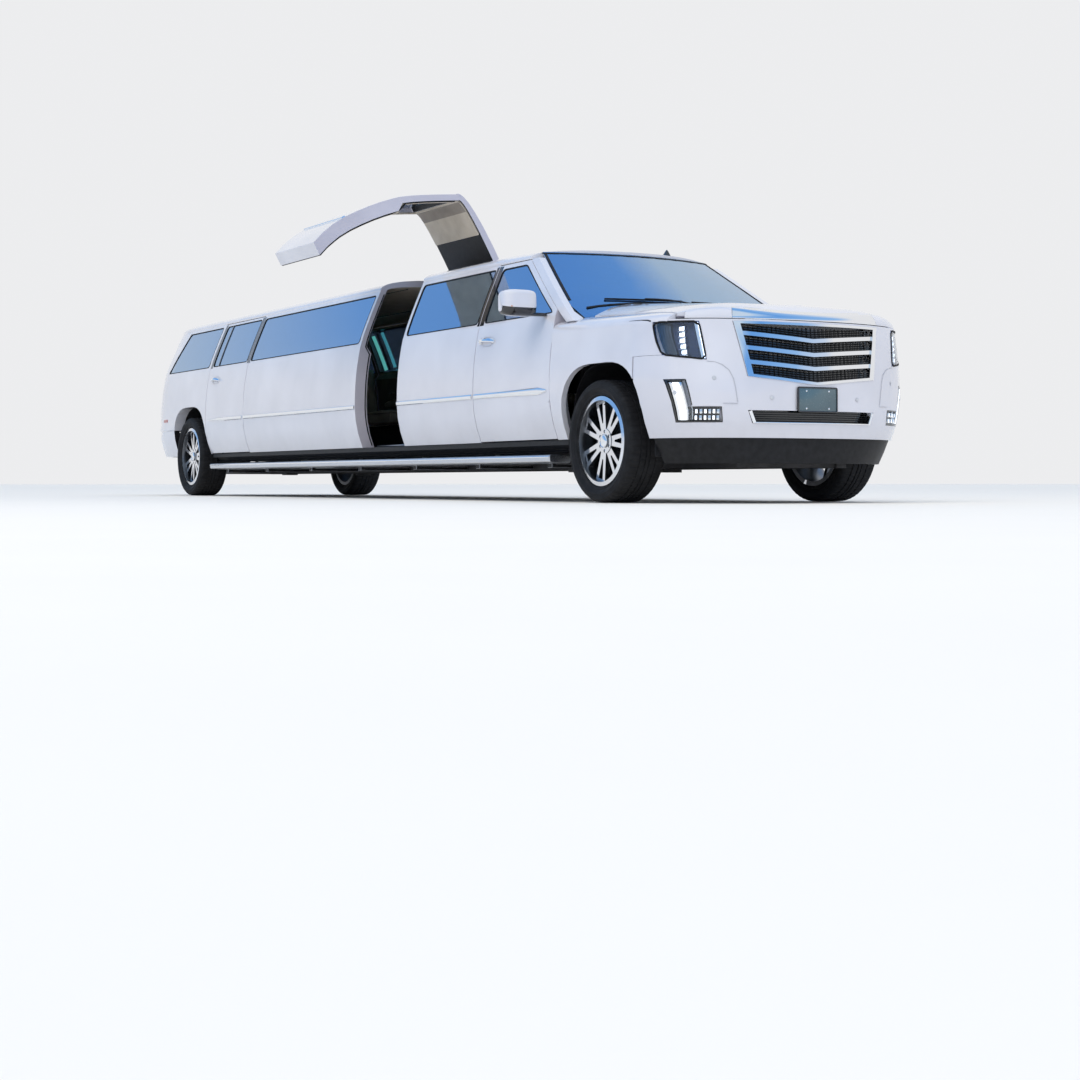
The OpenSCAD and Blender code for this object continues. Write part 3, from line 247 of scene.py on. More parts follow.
def make_wood(name, dark, light):
    mat, tree, bsdf = shader(name, light, 0.3, Coat_Weight=0.7, Coat_Roughness=0.08)
    rings = noise(tree, 9.0, 6.0, 0.6, (0.35, 4.0, 2.0))
    tone = ramp(tree, rings, [(0.35, dark), (0.5, light), (0.62, dark)])
    tree.links.new(tone, bsdf.inputs["Base Color"])
    bump(tree, bsdf, rings, 0.08)
    return mat


def make_light(name, color, strength, base=(0.9, 0.92, 0.95)):
    mat, tree, bsdf = shader(name, base, 0.25, Emission_Strength=strength)
    glow = ramp(tree, noise(tree, 25.0, 2.0), [(0.3, tuple(0.85 * c for c in color)), (0.7, color)])
    tree.links.new(glow, bsdf.inputs["Emission Color"])
    return mat


PEARL = make_paint("pearl_white", (0.63, 0.62, 0.665), (0.70, 0.69, 0.735), 0.30)
# A darker copy of the white paint, as painted shade: door edges and jambs, the hood's underside, the fenders' inner
# faces
SHADED_PAINT = make_paint("shaded_white_paint", (0.50, 0.47, 0.53), (0.58, 0.55, 0.61), 0.15, 0.30)
TINT = make_glass("tinted_glass", (0.38, 0.55, 0.76), 0.02, 0.80)
SCREEN = make_glass("screen_glass", (0.36, 0.56, 0.80), 0.01, 0.74)
CLEAR = make_glass("clear_lens", (0.86, 0.92, 1.0), 0.01)
RED_LENS = make_grain("red_lens", (0.30, 0.006, 0.008), (0.42, 0.010, 0.012), 0.16, 260.0, 0.05, Coat_Weight=1.0)
AMBER = make_grain("amber_lens", (0.55, 0.16, 0.01), (0.75, 0.25, 0.02), 0.2, 260.0, 0.05, Coat_Weight=1.0)
CHROME = make_metal("chrome", (0.88, 0.89, 0.91), 0.04, 0.10, 12.0)
POLISHED = make_metal("polished_wheel", (0.80, 0.81, 0.84), 0.10, 0.22, 40.0)
BRUSHED = make_metal("brushed_board", (0.60, 0.62, 0.66), 0.22, 0.38, 60.0, (0.05, 8.0, 8.0), 0.25)
SATIN = make_metal("satin_steel", (0.42, 0.43, 0.45), 0.30, 0.45, 60.0, None, 0.1)
DARK_CHROME = make_metal("dark_chrome", (0.16, 0.17, 0.19), 0.12, 0.2, 30.0)
MIRROR = make_metal("mirror_glass", (0.72, 0.77, 0.84), 0.0, 0.02, 8.0)
RUBBER = make_grain("tyre_rubber", (0.009, 0.009, 0.010), (0.018, 0.018, 0.020), 0.72, 700.0, 0.15,
                    Specular_IOR_Level=0.22)
SEAL = make_grain("rubber_seal", (0.006, 0.006, 0.007), (0.012, 0.012, 0.013), 0.6, 900.0, 0.1,
                  Specular_IOR_Level=0.25)
BLACK = make_grain("black_plastic", (0.007, 0.007, 0.008), (0.014, 0.014, 0.016), 0.48, 1200.0, 0.2,
                   Specular_IOR_Level=0.25)
GLOSS = make_grain("gloss_black", (0.006, 0.006, 0.008), (0.012, 0.012, 0.014), 0.14, 300.0, 0.01, Coat_Weight=0.8)
STEEL = make_grain("chassis_steel", (0.03, 0.03, 0.032), (0.06, 0.06, 0.065), 0.6, 350.0, 0.25, Metallic=0.3)
IRON = make_grain("cast_iron", (0.12, 0.12, 0.13), (0.2, 0.2, 0.21), 0.5, 250.0, 0.3, Metallic=0.9)
CARPET = make_grain("carpet", (0.02, 0.019, 0.02), (0.05, 0.047, 0.05), 0.92, 420.0, 0.9, Sheen_Weight=0.3)
LINING = make_grain("cream_lining", (0.56, 0.48, 0.38), (0.66, 0.58, 0.47), 0.85, 500.0, 0.35, Sheen_Weight=0.2)
TAUPE = make_grain("taupe_lining", (0.26, 0.22, 0.18), (0.33, 0.28, 0.23), 0.8, 500.0, 0.35, Sheen_Weight=0.2)
LEATHER = make_leather("cream_leather", (0.60, 0.51, 0.39), (0.74, 0.66, 0.53))
BLACK_LEATHER = make_leather("black_leather", (0.018, 0.018, 0.02), (0.035, 0.035, 0.04))
WOOD = make_wood("dark_wood", (0.05, 0.018, 0.008), (0.16, 0.06, 0.025))
LED = make_light("led_white", (0.85, 0.93, 1.0), 3.0)
TEAL = make_light("teal_strip", (0.16, 0.72, 0.68), 0.5, (0.06, 0.30, 0.28))
PAINTED = make_metal("painted_pocket", (0.20, 0.21, 0.23), 0.28, 0.40, 30.0)
PLATE = make_grain("blank_plate", (0.05, 0.09, 0.11), (0.10, 0.16, 0.18), 0.22, 120.0, 0.03, Coat_Weight=0.6)
NAVY = make_grain("lamp_housing", (0.008, 0.022, 0.10), (0.016, 0.045, 0.17), 0.25, 200.0, 0.03, Coat_Weight=0.4)
SENSOR = make_grain("sensor_face", (0.52, 0.53, 0.56), (0.60, 0.61, 0.64), 0.35, 400.0, 0.03)
# Mid grey: painted shade round the door handles' cups, and the colour of the nose's seam lines
SHADE = make_grain("cup_shade_and_seam_grey", (0.42, 0.42, 0.45), (0.50, 0.50, 0.54), 0.35, 300.0, 0.03)
GLASSY = make_glass("lamp_glass", (0.80, 0.86, 0.92), 0.02)
BOTTLE = make_glass("bottle_glass", (0.06, 0.22, 0.10), 0.03)
PIPING = make_leather("leather_piping", (0.42, 0.34, 0.25), (0.52, 0.43, 0.32))
LED_SOFT = make_light("led_soft", (0.92, 0.96, 1.0), 0.9)
LED_RED = make_light("led_red", (1.0, 0.06, 0.04), 0.8, (0.5, 0.02, 0.02))


# Meshes

def add(name, mesh, body, mats):
    """A new piece from a mesh: it rides on a body, and takes its finish from a slot."""
    piece = bpy.data.objects.new(name, mesh)
    SCENE.collection.objects.link(piece)
    for mat in (mats if isinstance(mats, (list, tuple)) else [mats]):
        mesh.materials.append(mat)
    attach(piece, body)
    return piece


def smooth(mesh, angle):
    mesh.polygons.foreach_set("use_smooth", [True] * len(mesh.polygons))
    mesh.set_sharp_from_angle(angle=math.radians(angle))


def tree_of(name):
    """Search tree over a solid, for laying trim on its surface."""
    mesh = NODES[name].data
    return BVHTree.FromPolygons([v.co.copy() for v in mesh.vertices], [list(p.vertices) for p in mesh.polygons])


def hit(tree, start, way):
    """Where a line from start first meets the surface, and the surface's normal there."""
    point, normal, _, _ = tree.ray_cast(Vector(start), Vector(way).normalized())
    return point, normal


def move(*place):
    return Matrix.Translation(place)


def turned(degrees, axis):
    return Matrix.Rotation(math.radians(degrees), 4, axis)


def border_of(nu, nv):
    """Indices round the edge of a grid of points."""
    return ([i * nv for i in range(nu)] + [(nu - 1) * nv + j for j in range(1, nv)]
            + [i * nv + nv - 1 for i in range(nu - 2, -1, -1)] + [j for j in range(nv - 2, 0, -1)])


def dress(name, mats, bevel=0.002, pick=None, segments=2, cuts=()):
    """A finished copy of a CAD node: welded, edges rounded, shaded smooth, painted face by face.
    pick(centre, normal) gives the index of a face's material, and cuts are planes that split faces first."""
    source = NODES[name]
    work = bmesh.new()
    work.from_mesh(source.data)
    bmesh.ops.remove_doubles(work, verts=work.verts, dist=3e-5)
    bmesh.ops.dissolve_limit(work, angle_limit=math.radians(0.4), verts=work.verts, edges=work.edges,
                             use_dissolve_boundaries=False)
    for spot, way in cuts:
        bmesh.ops.bisect_plane(work, geom=work.verts[:] + work.edges[:] + work.faces[:], plane_co=spot, plane_no=way,
                               dist=1e-5)
    work.normal_update()
    for face in work.faces:
        face.material_index = pick(face.calc_center_median(), face.normal) if pick else 0
    if bevel:
        edges = [e for e in work.edges if len(e.link_faces) == 2 and e.calc_face_angle(0) > BEVEL_FROM]
        bmesh.ops.bevel(work, geom=edges, offset=bevel, segments=segments, profile=0.5, affect="EDGES",
                        clamp_overlap=True, loop_slide=True)
    mesh = bpy.data.meshes.new(name + ".skin")
    work.to_mesh(mesh)
    work.free()
    smooth(mesh, 40)
    piece = add(name + ".skin", mesh, source["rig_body"], mats)
    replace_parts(piece, name)
    weight = piece.modifiers.new("weighted", "WEIGHTED_NORMAL")
    weight.keep_sharp = True


# The body's surface, from the same sections as the solids

def lerp(a, b, t):
    return a + (b - a) * t


def share(a, b, x):
    return min(1.0, max(0.0, (x - a) / (b - a)))


def section_half(z):
    if z < WIDE_Z:
        return HALF - (HALF - SILL_HALF) * ((WIDE_Z - z) / (WIDE_Z - SILL_Z)) ** 2
    if z < BELT_Z:
        return HALF - (HALF - BELT_HALF) * ((z - WIDE_Z) / (BELT_Z - WIDE_Z)) ** 2.2
    return BELT_HALF - (BELT_HALF - RAIL_HALF) * ((z - BELT_Z) / (RAIL_Z - BELT_Z)) ** 1.12


def nose_at(z):
    return NOSE_X - 0.11 * max(0.0, z - 0.75) - 0.12 * max(0.0, 0.52 - z)


def tail_at(z):
    return TAIL_X if z < 0.69 else TAIL_X + 0.070 + 0.26 * max(0.0, z - BELT_Z)


def side_half(x, z):
    nose = (1 - share(NOSE_START, nose_at(z), x) ** 2.4) ** (1 / 2.4)
    tail = (1 - share(TAIL_START, tail_at(z), x) ** 5) ** 0.2
    return section_half(z) * nose * tail


def wall(z):
    return lerp(0.110, 0.055, share(BELT_Z - 0.060, BELT_Z, z))


def side_normal(x, z, side):
    e = 1e-3
    lean_x = (side_half(x + e, z) - side_half(x - e, z)) / (2 * e)
    lean_z = (side_half(x, z + e) - side_half(x, z - e)) / (2 * e)
    return Vector((-lean_x, side, -lean_z)).normalized()


def side_point(x, z, side, out=0.0):
    """A point on the side wall, moved out along its normal."""
    return Vector((x, side * side_half(x, z), z)) + side_normal(x, z, side) * out


def nose_point(angle, z, depth=0.0):
    """A point of the nose at an angle round its plan, counted from the right side."""
    a = math.radians(angle)
    c, s = math.cos(a), max(0.0, math.sin(a))
    across = math.copysign(abs(c) ** (2 / 2.4), c)
    return Vector((NOSE_START + (nose_at(z) - NOSE_START) * s ** (2 / 2.4) - depth * s,
                   -section_half(z) * across + depth * c, z))


def solve(low, high, test):
    """The place between low and high where a rising test passes zero."""
    for _ in range(40):
        mid = (low + high) / 2
        if test(mid) < 0:
            low = mid
        else:
            high = mid
    return low


def nose_angle(y, z):
    return solve(1.0, 179.0, lambda a: nose_point(a, z).y - y)


def nose_xyz(y, z, depth=0.0):
    """The nose's surface at a width and a height."""
    return nose_point(nose_angle(y, z), z, depth)


def nose_normal(y, z):
    return (nose_xyz(y, z, -0.01) - nose_xyz(y, z, 0.01)).normalized()


def screen_xyz(y, z, out=0.0):
    """The windscreen's surface."""
    half = section_half(max(BELT_Z, z)) - wall(z) - 0.001
    x = SCREEN_X - (z - SCREEN_Z) * SCREEN_RUN + 0.150 * (1 - (y / half) ** 2)
    return Vector((x, y, z)) + SCREEN_OUT * out


def wing_turn(points):
    """Points of the roof-hinged door, from shut to its place at rest."""
    return [WING_LIFT @ (Vector(p) - WING_AXIS) + WING_AXIS for p in points]


def wing_shut(point):
    return WING_LOWER @ (point - WING_AXIS) + WING_AXIS


def corners(w, h, x=0.0, z=0.0):
    """A rectangle of half width w and half height h about a point."""
    return [(x - w, z - h), (x + w, z - h), (x + w, z + h), (x - w, z + h)]


def soft(points, cut, count=5):
    """A closed outline with rounded corners."""
    made = []
    for i, (px, py) in enumerate(points):
        before, after = points[i - 1], points[(i + 1) % len(points)]
        ax, ay = before[0] - px, before[1] - py
        bx, by = after[0] - px, after[1] - py
        la, lb = math.hypot(ax, ay), math.hypot(bx, by)
        for k in range(count + 1):
            t = k / count
            u, v = cut * (1 - t) ** 2, cut * t ** 2
            made.append((px + ax / la * u + bx / lb * v, py + ay / la * u + by / lb * v))
    return made


def spread(points, step):
    """A closed outline with extra points on its long sides."""
    made = []
    for i, p in enumerate(points):
        q = points[(i + 1) % len(points)]
        count = max(1, round(math.hypot(q[0] - p[0], q[1] - p[1]) / step))
        made += [(lerp(p[0], q[0], k / count), lerp(p[1], q[1], k / count)) for k in range(count)]
    return made


def ring(radius, count):
    angles = [2 * math.pi * k / count for k in range(count)]
    return [(radius * math.cos(a), radius * math.sin(a)) for a in angles]


def strip(width, height, sink=0.001):
    """Section of a moulding: flat below, rounded above."""
    w = width / 2
    return [(-w, -sink), (w, -sink), (w, height * 0.35), (w * 0.78, height * 0.85), (w * 0.4, height),
            (-w * 0.4, height), (-w * 0.78, height * 0.85), (-w, height * 0.35)]


class Kit:
    """Collects shapes into one mesh, with the index of a material for each."""

    def __init__(self):
        self.verts, self.faces, self.mats = [], [], []

    def put(self, verts, faces, mat=0):
        base = len(self.verts)
        self.verts += [tuple(v) for v in verts]
        self.faces += [tuple(base + i for i in face) for face in faces]
        self.mats += [mat] * len(faces)

    def rings(self, rows, mat=0, closed=False):
        """Skin over rings of points; open ends are capped."""
        n = len(rows[0])
        faces = []
        for i in range(len(rows) if closed else len(rows) - 1):
            j = (i + 1) % len(rows)
            faces += [(i * n + k, i * n + (k + 1) % n, j * n + (k + 1) % n, j * n + k) for k in range(n)]
        if not closed:
            faces += [tuple(range(n))[::-1], tuple((len(rows) - 1) * n + k for k in range(n))]
        self.put([p for row in rows for p in row], faces, mat)

    def sweep(self, path, normals, profile, mat=0, closed=False, scale=None):
        """A profile of (across, out) pairs along a path that lies on a surface."""
        rows = []
        for i, p in enumerate(path):
            before = path[i - 1] if i or closed else p
            after = path[(i + 1) % len(path)] if i + 1 < len(path) or closed else p
            along = (Vector(after) - Vector(before)).normalized()
            out = Vector(normals[i] if isinstance(normals, list) else normals).normalized()
            across = along.cross(out).normalized()
            out = across.cross(along).normalized()
            size = scale(i / (len(path) - 1)) if scale else (1.0, 1.0)
            rows.append([Vector(p) + across * (w * size[0]) + out * (u * size[1]) for w, u in profile])
        self.rings(rows, mat, closed)

    def sheet(self, us, vs, point, near, far, mat=0):
        """A closed plate between two depths of a surface."""
        nu, nv = len(us), len(vs)
        verts = [point(u, v, near) for u in us for v in vs] + [point(u, v, far) for u in us for v in vs]
        half = nu * nv
        faces = []
        for i in range(nu - 1):
            for j in range(nv - 1):
                a, b, c, d = i * nv + j, i * nv + j + 1, (i + 1) * nv + j + 1, (i + 1) * nv + j
                faces += [(a, b, c, d), (half + d, half + c, half + b, half + a)]
        border = border_of(nu, nv)
        for k, a in enumerate(border):
            b = border[(k + 1) % len(border)]
            faces.append((a, b, half + b, half + a))
        self.put(verts, faces, mat)

    def lathe(self, profile, place, count=32, mat=0):
        """A closed profile of (radius, height) turned about the place's own Z."""
        rows = []
        for k in range(count):
            a = 2 * math.pi * k / count
            rows.append([place @ Vector((r * math.cos(a), r * math.sin(a), z)) for r, z in profile])
        self.rings(rows, mat, closed=True)

    def block(self, size, place, radius=0.004, mat=0, segments=2):
        """A block with rounded edges."""
        work = bmesh.new()
        bmesh.ops.create_cube(work, size=1.0, matrix=Matrix.Diagonal((*size, 1)))
        bmesh.ops.bevel(work, geom=work.edges[:], offset=radius, segments=segments, profile=0.5, affect="EDGES")
        work.verts.index_update()
        self.put([place @ v.co for v in work.verts], [[v.index for v in f.verts] for f in work.faces], mat)
        work.free()

    def done(self, name, body, slot, mats, angle=38):
        mesh = bpy.data.meshes.new(name)
        mesh.from_pydata(self.verts, [], self.faces)
        mesh.polygons.foreach_set("material_index", self.mats)
        work = bmesh.new()
        work.from_mesh(mesh)
        bmesh.ops.recalc_face_normals(work, faces=work.faces)
        work.to_mesh(mesh)
        work.free()
        smooth(mesh, angle)
        return add(name, mesh, body, mats)


def at(place, out, up=(0, 0, 1)):
    """A frame at a point whose Z points out and whose Y points as nearly up as it can."""
    z = Vector(out).normalized()
    x = Vector(up).cross(z).normalized()
    y = z.cross(x)
    return move(*place) @ Matrix((x, y, z)).transposed().to_4x4()


# Finishes of the solids


def outward(c, n):
    return n.y * (1 if c.y > 0 else -1)


def panel_pick(c, n):
    """Paint outside, lining inside, and a darker copy of the paint, as painted shade, on the edges that a shut door
    hides.
    """
    if outward(c, n) < -0.45:
        return 1
    return 2 if abs(n.x) > 0.8 and abs(c.x) < 4.0 else 0


WALL_MATS = [PEARL, TAUPE, SHADED_PAINT, GLOSS]


def black_frame(low_x, high_x):
    """Black window frames at the ends of a panel, painted panel elsewhere."""
    def pick(c, n):
        if FRAME_LOW < c.z < FRAME_HIGH and outward(c, n) > 0.2 and not low_x < c.x < high_x:
            return 3
        return panel_pick(c, n)
    return pick


def x_cut(*places):
    return [((x, 0, 0), (1, 0, 0)) for x in places] + [((0, 0, z), (0, 0, 1)) for z in (FRAME_LOW, FRAME_HIGH)]


for s, _ in SIDES:
    dress(f"front_door_{s}", WALL_MATS, pick=black_frame(FRONT_POST, 9), cuts=x_cut(FRONT_POST))
    dress(f"rear_door_{s}", WALL_MATS, pick=black_frame(*REAR_POSTS), cuts=x_cut(*REAR_POSTS))
dress("side_front_right", WALL_MATS, pick=black_frame(-9, WALL_FRONT), cuts=x_cut(WALL_FRONT))
dress("side_rear_right", WALL_MATS, pick=black_frame(WALL_REAR, 9), cuts=x_cut(WALL_REAR))
dress("side_left", WALL_MATS, pick=black_frame(WALL_REAR, WALL_FRONT), cuts=x_cut(WALL_REAR, WALL_FRONT))
for name in ("quarter_panels", "pillars"):
    dress(name, WALL_MATS, pick=panel_pick)
# The roof's edges at the door opening, the fenders' inner faces and the hood's underside take the darker copy of the
# paint: painted shade
dress("roof", [PEARL, LINING, SHADED_PAINT, SATIN], pick=lambda c, n: 1 if n.z < -0.35 and c.z < 1.84
      else 2 if abs(n.x) > 0.8 and 0.1 < c.x < 1.1 else 0)
dress("fenders", [PEARL, SHADED_PAINT], pick=lambda c, n: 1 if outward(c, n) < -0.4 or n.x < -0.8 else 0)
dress("hood", [PEARL, SHADED_PAINT], pick=lambda c, n: 1 if n.z < -0.3 else 0)
dress("tailgate", [PEARL, TAUPE], pick=lambda c, n: 1 if n.x > 0.5 else 0)
dress("front_bumper", [PEARL, BLACK], pick=lambda c, n: 1 if n.x < -0.35 and c.x > 4.8 else 0)
dress("rear_bumper", [PEARL, BLACK], pick=lambda c, n: 1 if n.x > 0.4 else 0)
dress("front_carrier", [BLACK, GLOSS], pick=lambda c, n: 1 if c.z > 0.45 else 0)
dress("grille", [CHROME], bevel=0.004, segments=3)
dress("windscreen", [SCREEN], bevel=0.001)
for name in ("fixed_glass", "tailgate_glass", "wing_glass"):
    dress(name, [TINT], bevel=0.001)
for s, _ in SIDES:
    dress(f"front_glass_{s}", [TINT], bevel=0.001)
    dress(f"rear_glass_{s}", [TINT], bevel=0.001)
    dress(f"knuckle_{s}", [IRON])


def wing_pick(c, n):
    """Door skin, its lining, and the wide faces round its edge in a darker copy of the paint, as painted shade."""
    shut, way = wing_shut(c), WING_LOWER @ n
    if abs(n.x) > 0.8:
        return 2
    if way.y > 0.45 and shut.z < 1.80 or way.z < -0.45 and shut.z > 1.70:
        return 1
    return 0


def liner_pick(c, n):
    z = wing_shut(c).z
    return 1 if 1.745 < z < 1.792 or 1.255 < z < 1.315 else 0


dress("wing_door", [PEARL, BLACK, SHADED_PAINT], pick=wing_pick)
dress("wing_liner", [LINING, TAUPE], pick=liner_pick, bevel=0.004, segments=3)
dress("tail_lamps", [RED_LENS, BLACK], pick=lambda c, n: 1 if n.x > 0.5 else 0)
dress("rocker_panels", [BLACK])
dress("running_boards", [BRUSHED, BLACK], bevel=0.005, segments=3, pick=lambda c, n: 1 if c.z < 0.264 else 0)
dress("wheel_liners", [BLACK])
dress("chassis_frame", [STEEL])
dress("floor_pan", [CARPET, STEEL], pick=lambda c, n: 0 if n.z > 0.5 else 1)
dress("bulkhead", [STEEL])
dress("power_unit", [STEEL, IRON], bevel=0.012, segments=3, pick=lambda c, n: 1 if c.z > 0.5 else 0)
dress("exhaust", [SATIN], bevel=0.008, segments=3)
dress("fuel_tank", [BLACK], bevel=0.02, segments=3)
dress("rear_axle", [IRON])
dress("bar_cabinet", [WOOD, GLOSS], bevel=0.006, segments=3, pick=lambda c, n: 1 if n.z < -0.5 else 0)
dress("dashboard", [BLACK, BLACK_LEATHER], bevel=0.004,
      pick=lambda c, n: 1 if c.x < 3.19 and c.z < 1.26 and 0.15 < c.y < 0.63 else 0)


def rim_pick(centre, side):
    """Polished faces, painted pockets, iron discs."""
    def pick(c, n):
        deep = (c.y - centre.y) * side
        away = math.hypot(c.x - centre.x, c.z - centre.z)
        if deep < -0.012 and away < 0.19:
            return 2
        if n.y * side > 0.55 and deep > 0.02 or away > 0.27:
            return 0
        return 1
    return pick


for s, side in SIDES:
    for end, x in (("front", AXLE_F), ("rear", AXLE_R)):
        dress(f"rim_{end}_{s}", [POLISHED, PAINTED, IRON], bevel=0.004, segments=3,
              pick=rim_pick(Vector((x, side * WHEEL_Y, HUB_Z)), side))


# Wheels

TREAD_STEPS = 224


def tyre_profile():
    """Half of the tyre's section as (radius, height, zone), from the bead up to the crown."""
    wallside = [(0.283, 0.106), (0.299, 0.1075), (0.305, 0.122), (0.311, 0.1315), (0.318, 0.1335), (0.322, 0.1325),
                (0.332, 0.1405), (0.343, 0.1455), (0.348, 0.1468), (0.350, 0.1482), (0.354, 0.1482), (0.356, 0.1466),
                (0.366, 0.1462), (0.376, 0.1440), (0.379, 0.1450), (0.383, 0.1438), (0.391, 0.1375)]
    points = [(r, z, 0) for r, z in wallside]
    points += [(0.398, 0.1315, 1), (0.4035, 0.124, 1), (0.4062, 0.113, 1), (0.4068, 0.094, 1), (0.4070, 0.072, 1)]
    for low, high, zone in ((0.062, 0.028, 2), (0.016, -0.001, 3)):
        points += [(0.4072, low + 0.004, zone - 1), (0.4000, low + 0.002, 0), (0.4000, low - 0.004, 0),
                   (0.4076, low - 0.006, zone), (0.4078, (low + high) / 2, zone)]
    return points


def tyre(name, x, side, body):
    """Tyre with four main grooves, shoulder blocks, sipes and ribbed walls."""
    place = move(x, side * WHEEL_Y, HUB_Z) @ turned(-side * 90, "X")
    half = tyre_profile()
    outline = half + [(r, -z, zone) for r, z, zone in reversed(half)]
    outline += [(0.283, -0.100, 0), (0.330, -0.118, 0), (0.372, -0.104, 0), (0.380, 0.0, 0), (0.372, 0.104, 0),
                (0.330, 0.118, 0), (0.283, 0.100, 0)]
    rows = []
    for k in range(TREAD_STEPS):
        a = 2 * math.pi * k / TREAD_STEPS
        row = []
        for r, z, zone in outline:
            cuts = {1: 0.0055 * (k % 4 == 0), 2: 0.0045 * ((k + (z > 0)) % 4 == 2), 3: 0.004 * (k % 8 == 5)}
            cut = cuts.get(zone, 0)
            lean = 0.018 * (abs(z) - 0.09) / 0.4 if zone else 0.0
            row.append(place @ Vector(((r - cut) * math.cos(a + lean), (r - cut) * math.sin(a + lean), z)))
        rows.append(row)
    kit = Kit()
    kit.rings(rows, closed=True)
    piece = kit.done(name + ".tread", body, "tyre", RUBBER, 30)
    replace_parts(piece, name)
    trim = Kit()
    cap = [(0.0005, 0.1015), (0.044, 0.1015), (0.0445, 0.1035), (0.041, 0.1062), (0.037, 0.1048), (0.034, 0.1060),
           (0.018, 0.1078), (0.0005, 0.1082)]
    trim.lathe(cap, place, 40, 0)
    for k in range(6):
        spot = place @ turned(60 * k + 30, "Z") @ move(0.064, 0, 0)
        trim.lathe([(0.0005, 0.0655), (0.0095, 0.0655), (0.0095, 0.069), (0.0088, 0.072), (0.0088, 0.087),
                    (0.0070, 0.0905), (0.0005, 0.0915)], spot, 6, 0)
        trim.lathe([(0.0096, 0.0655), (0.0106, 0.0655), (0.0106, 0.0685), (0.0096, 0.070)], spot, 18, 1)
    stem = place @ turned(77, "Z") @ move(0.262, 0, 0.100) @ turned(-28, "Y")
    trim.lathe([(0.0005, -0.006), (0.0055, -0.006), (0.0045, 0.010), (0.0032, 0.012), (0.0032, 0.024),
                (0.0042, 0.026), (0.0042, 0.034), (0.0005, 0.035)], stem, 12, 2)
    weight = place @ turned(200, "Z")
    arc = [weight @ Vector((0.2635 * math.cos(t), 0.2635 * math.sin(t), 0.060)) for t in (-0.10, -0.05, 0, 0.05, 0.10)]
    trim.sweep(arc, [(p - weight.to_translation()) * -1 for p in arc], strip(0.016, 0.004), 1)
    trim.done(name.replace("tyre", "wheel") + ".hardware", body, "chrome", [CHROME, SATIN, BLACK])


for s, side in SIDES:
    for end, x in (("front", AXLE_F), ("rear", AXLE_R)):
        tyre(f"tyre_{end}_{s}", x, side, f"wheel_{end}_{s}")


# Window seals

def window(rear, front, lean_rear=0.0, inset=0.0):
    return soft([(rear + inset, WINDOW_LOW + inset), (front - inset, WINDOW_LOW + inset),
                 (front - inset, WINDOW_HIGH - inset), (rear + inset + lean_rear, WINDOW_HIGH - inset)], 0.038)


def front_window(inset=0.0):
    def line(z):
        return SCREEN_X - (z - SCREEN_Z) * SCREEN_RUN - 0.119
    high = WINDOW_HIGH - 0.008
    return soft([(FRONT_POST + inset, WINDOW_LOW + inset), (line(WINDOW_LOW) - 0.078 - 2 * inset, WINDOW_LOW + inset),
                 (line(high) - 0.078 - 2 * inset, high - inset), (FRONT_POST + inset, high - inset)], 0.038)


def along_side(points, side, out=0.0, raised=False):
    """A path on the side wall with its normals; raised puts it on the open roof-hinged door."""
    path = [side_point(x, z, side, out) for x, z in points]
    normals = [side_normal(x, z, side) for x, z in points]
    return (wing_turn(path), [WING_LIFT @ n for n in normals]) if raised else (path, normals)


def seal(kit, outline, side, raised=False):
    path, normals = along_side(spread(outline, 0.08), side, -0.003, raised)
    kit.sweep(path, normals, [(-0.005, -0.004), (0.005, -0.004), (0.005, 0.002), (0.003, 0.0042), (-0.003, 0.0042),
                              (-0.005, 0.002)], closed=True)


for s, side in SIDES:
    kit = Kit()
    seal(kit, front_window(0.004), side)
    kit.done(f"front_window_seal_{s}", f"swing_front_{s}", "black_plastic", SEAL)
    kit = Kit()
    seal(kit, window(*REAR_POSTS, inset=0.004), side)
    posts = [side_point(-3.430, z, side, -0.0045) for z in (1.318, 1.42, 1.52, 1.62, 1.733)]
    kit.sweep(posts, [side_normal(-3.430, p.z, side) for p in posts], strip(0.034, 0.006), 1)
    kit.done(f"rear_window_seal_{s}", f"swing_rear_{s}", "black_plastic", [SEAL, GLOSS])
    kit = Kit()
    seal(kit, window(TAIL_X + 0.520, -3.715, 0.270, 0.004), side)
    panes = {RIGHT: ((1.070, WALL_FRONT), (WALL_REAR, 0.129)),
             LEFT: ((1.054, WALL_FRONT), (0.205, 0.994), (WALL_REAR, 0.145))}
    for pane in panes[side]:
        seal(kit, window(*pane, inset=0.004), side)
    kit.done(f"fixed_window_seals_{s}", "car", "black_plastic", SEAL)
    kit = Kit()

    def pillar(u, v, depth):
        z = lerp(WINDOW_LOW - 0.006, WINDOW_HIGH + 0.006, v)
        x = TAIL_X + lerp(lerp(0.318, 0.430, v), lerp(0.524, 0.794, v), u)
        return side_point(x, z, side, -depth)
    kit.sheet([k / 8 for k in range(9)], [k / 8 for k in range(9)], pillar, -0.0012, 0.006)
    kit.done(f"rear_pillar_cover_{s}", "car", "white_paint", PEARL)
kit = Kit()
seal(kit, window(WING_SPAN[0] + 0.060, WING_SPAN[1] - 0.060, inset=0.004), RIGHT, True)
kit.done("wing_window_seal", "gull_wing", "black_plastic", SEAL)


# Round the roof-hinged door: seals on its edge and in its opening, sill plate, pull strap

def wing_inner(z, lift=0.0):
    return -(side_half(0.6, z) - wall(z)) + lift


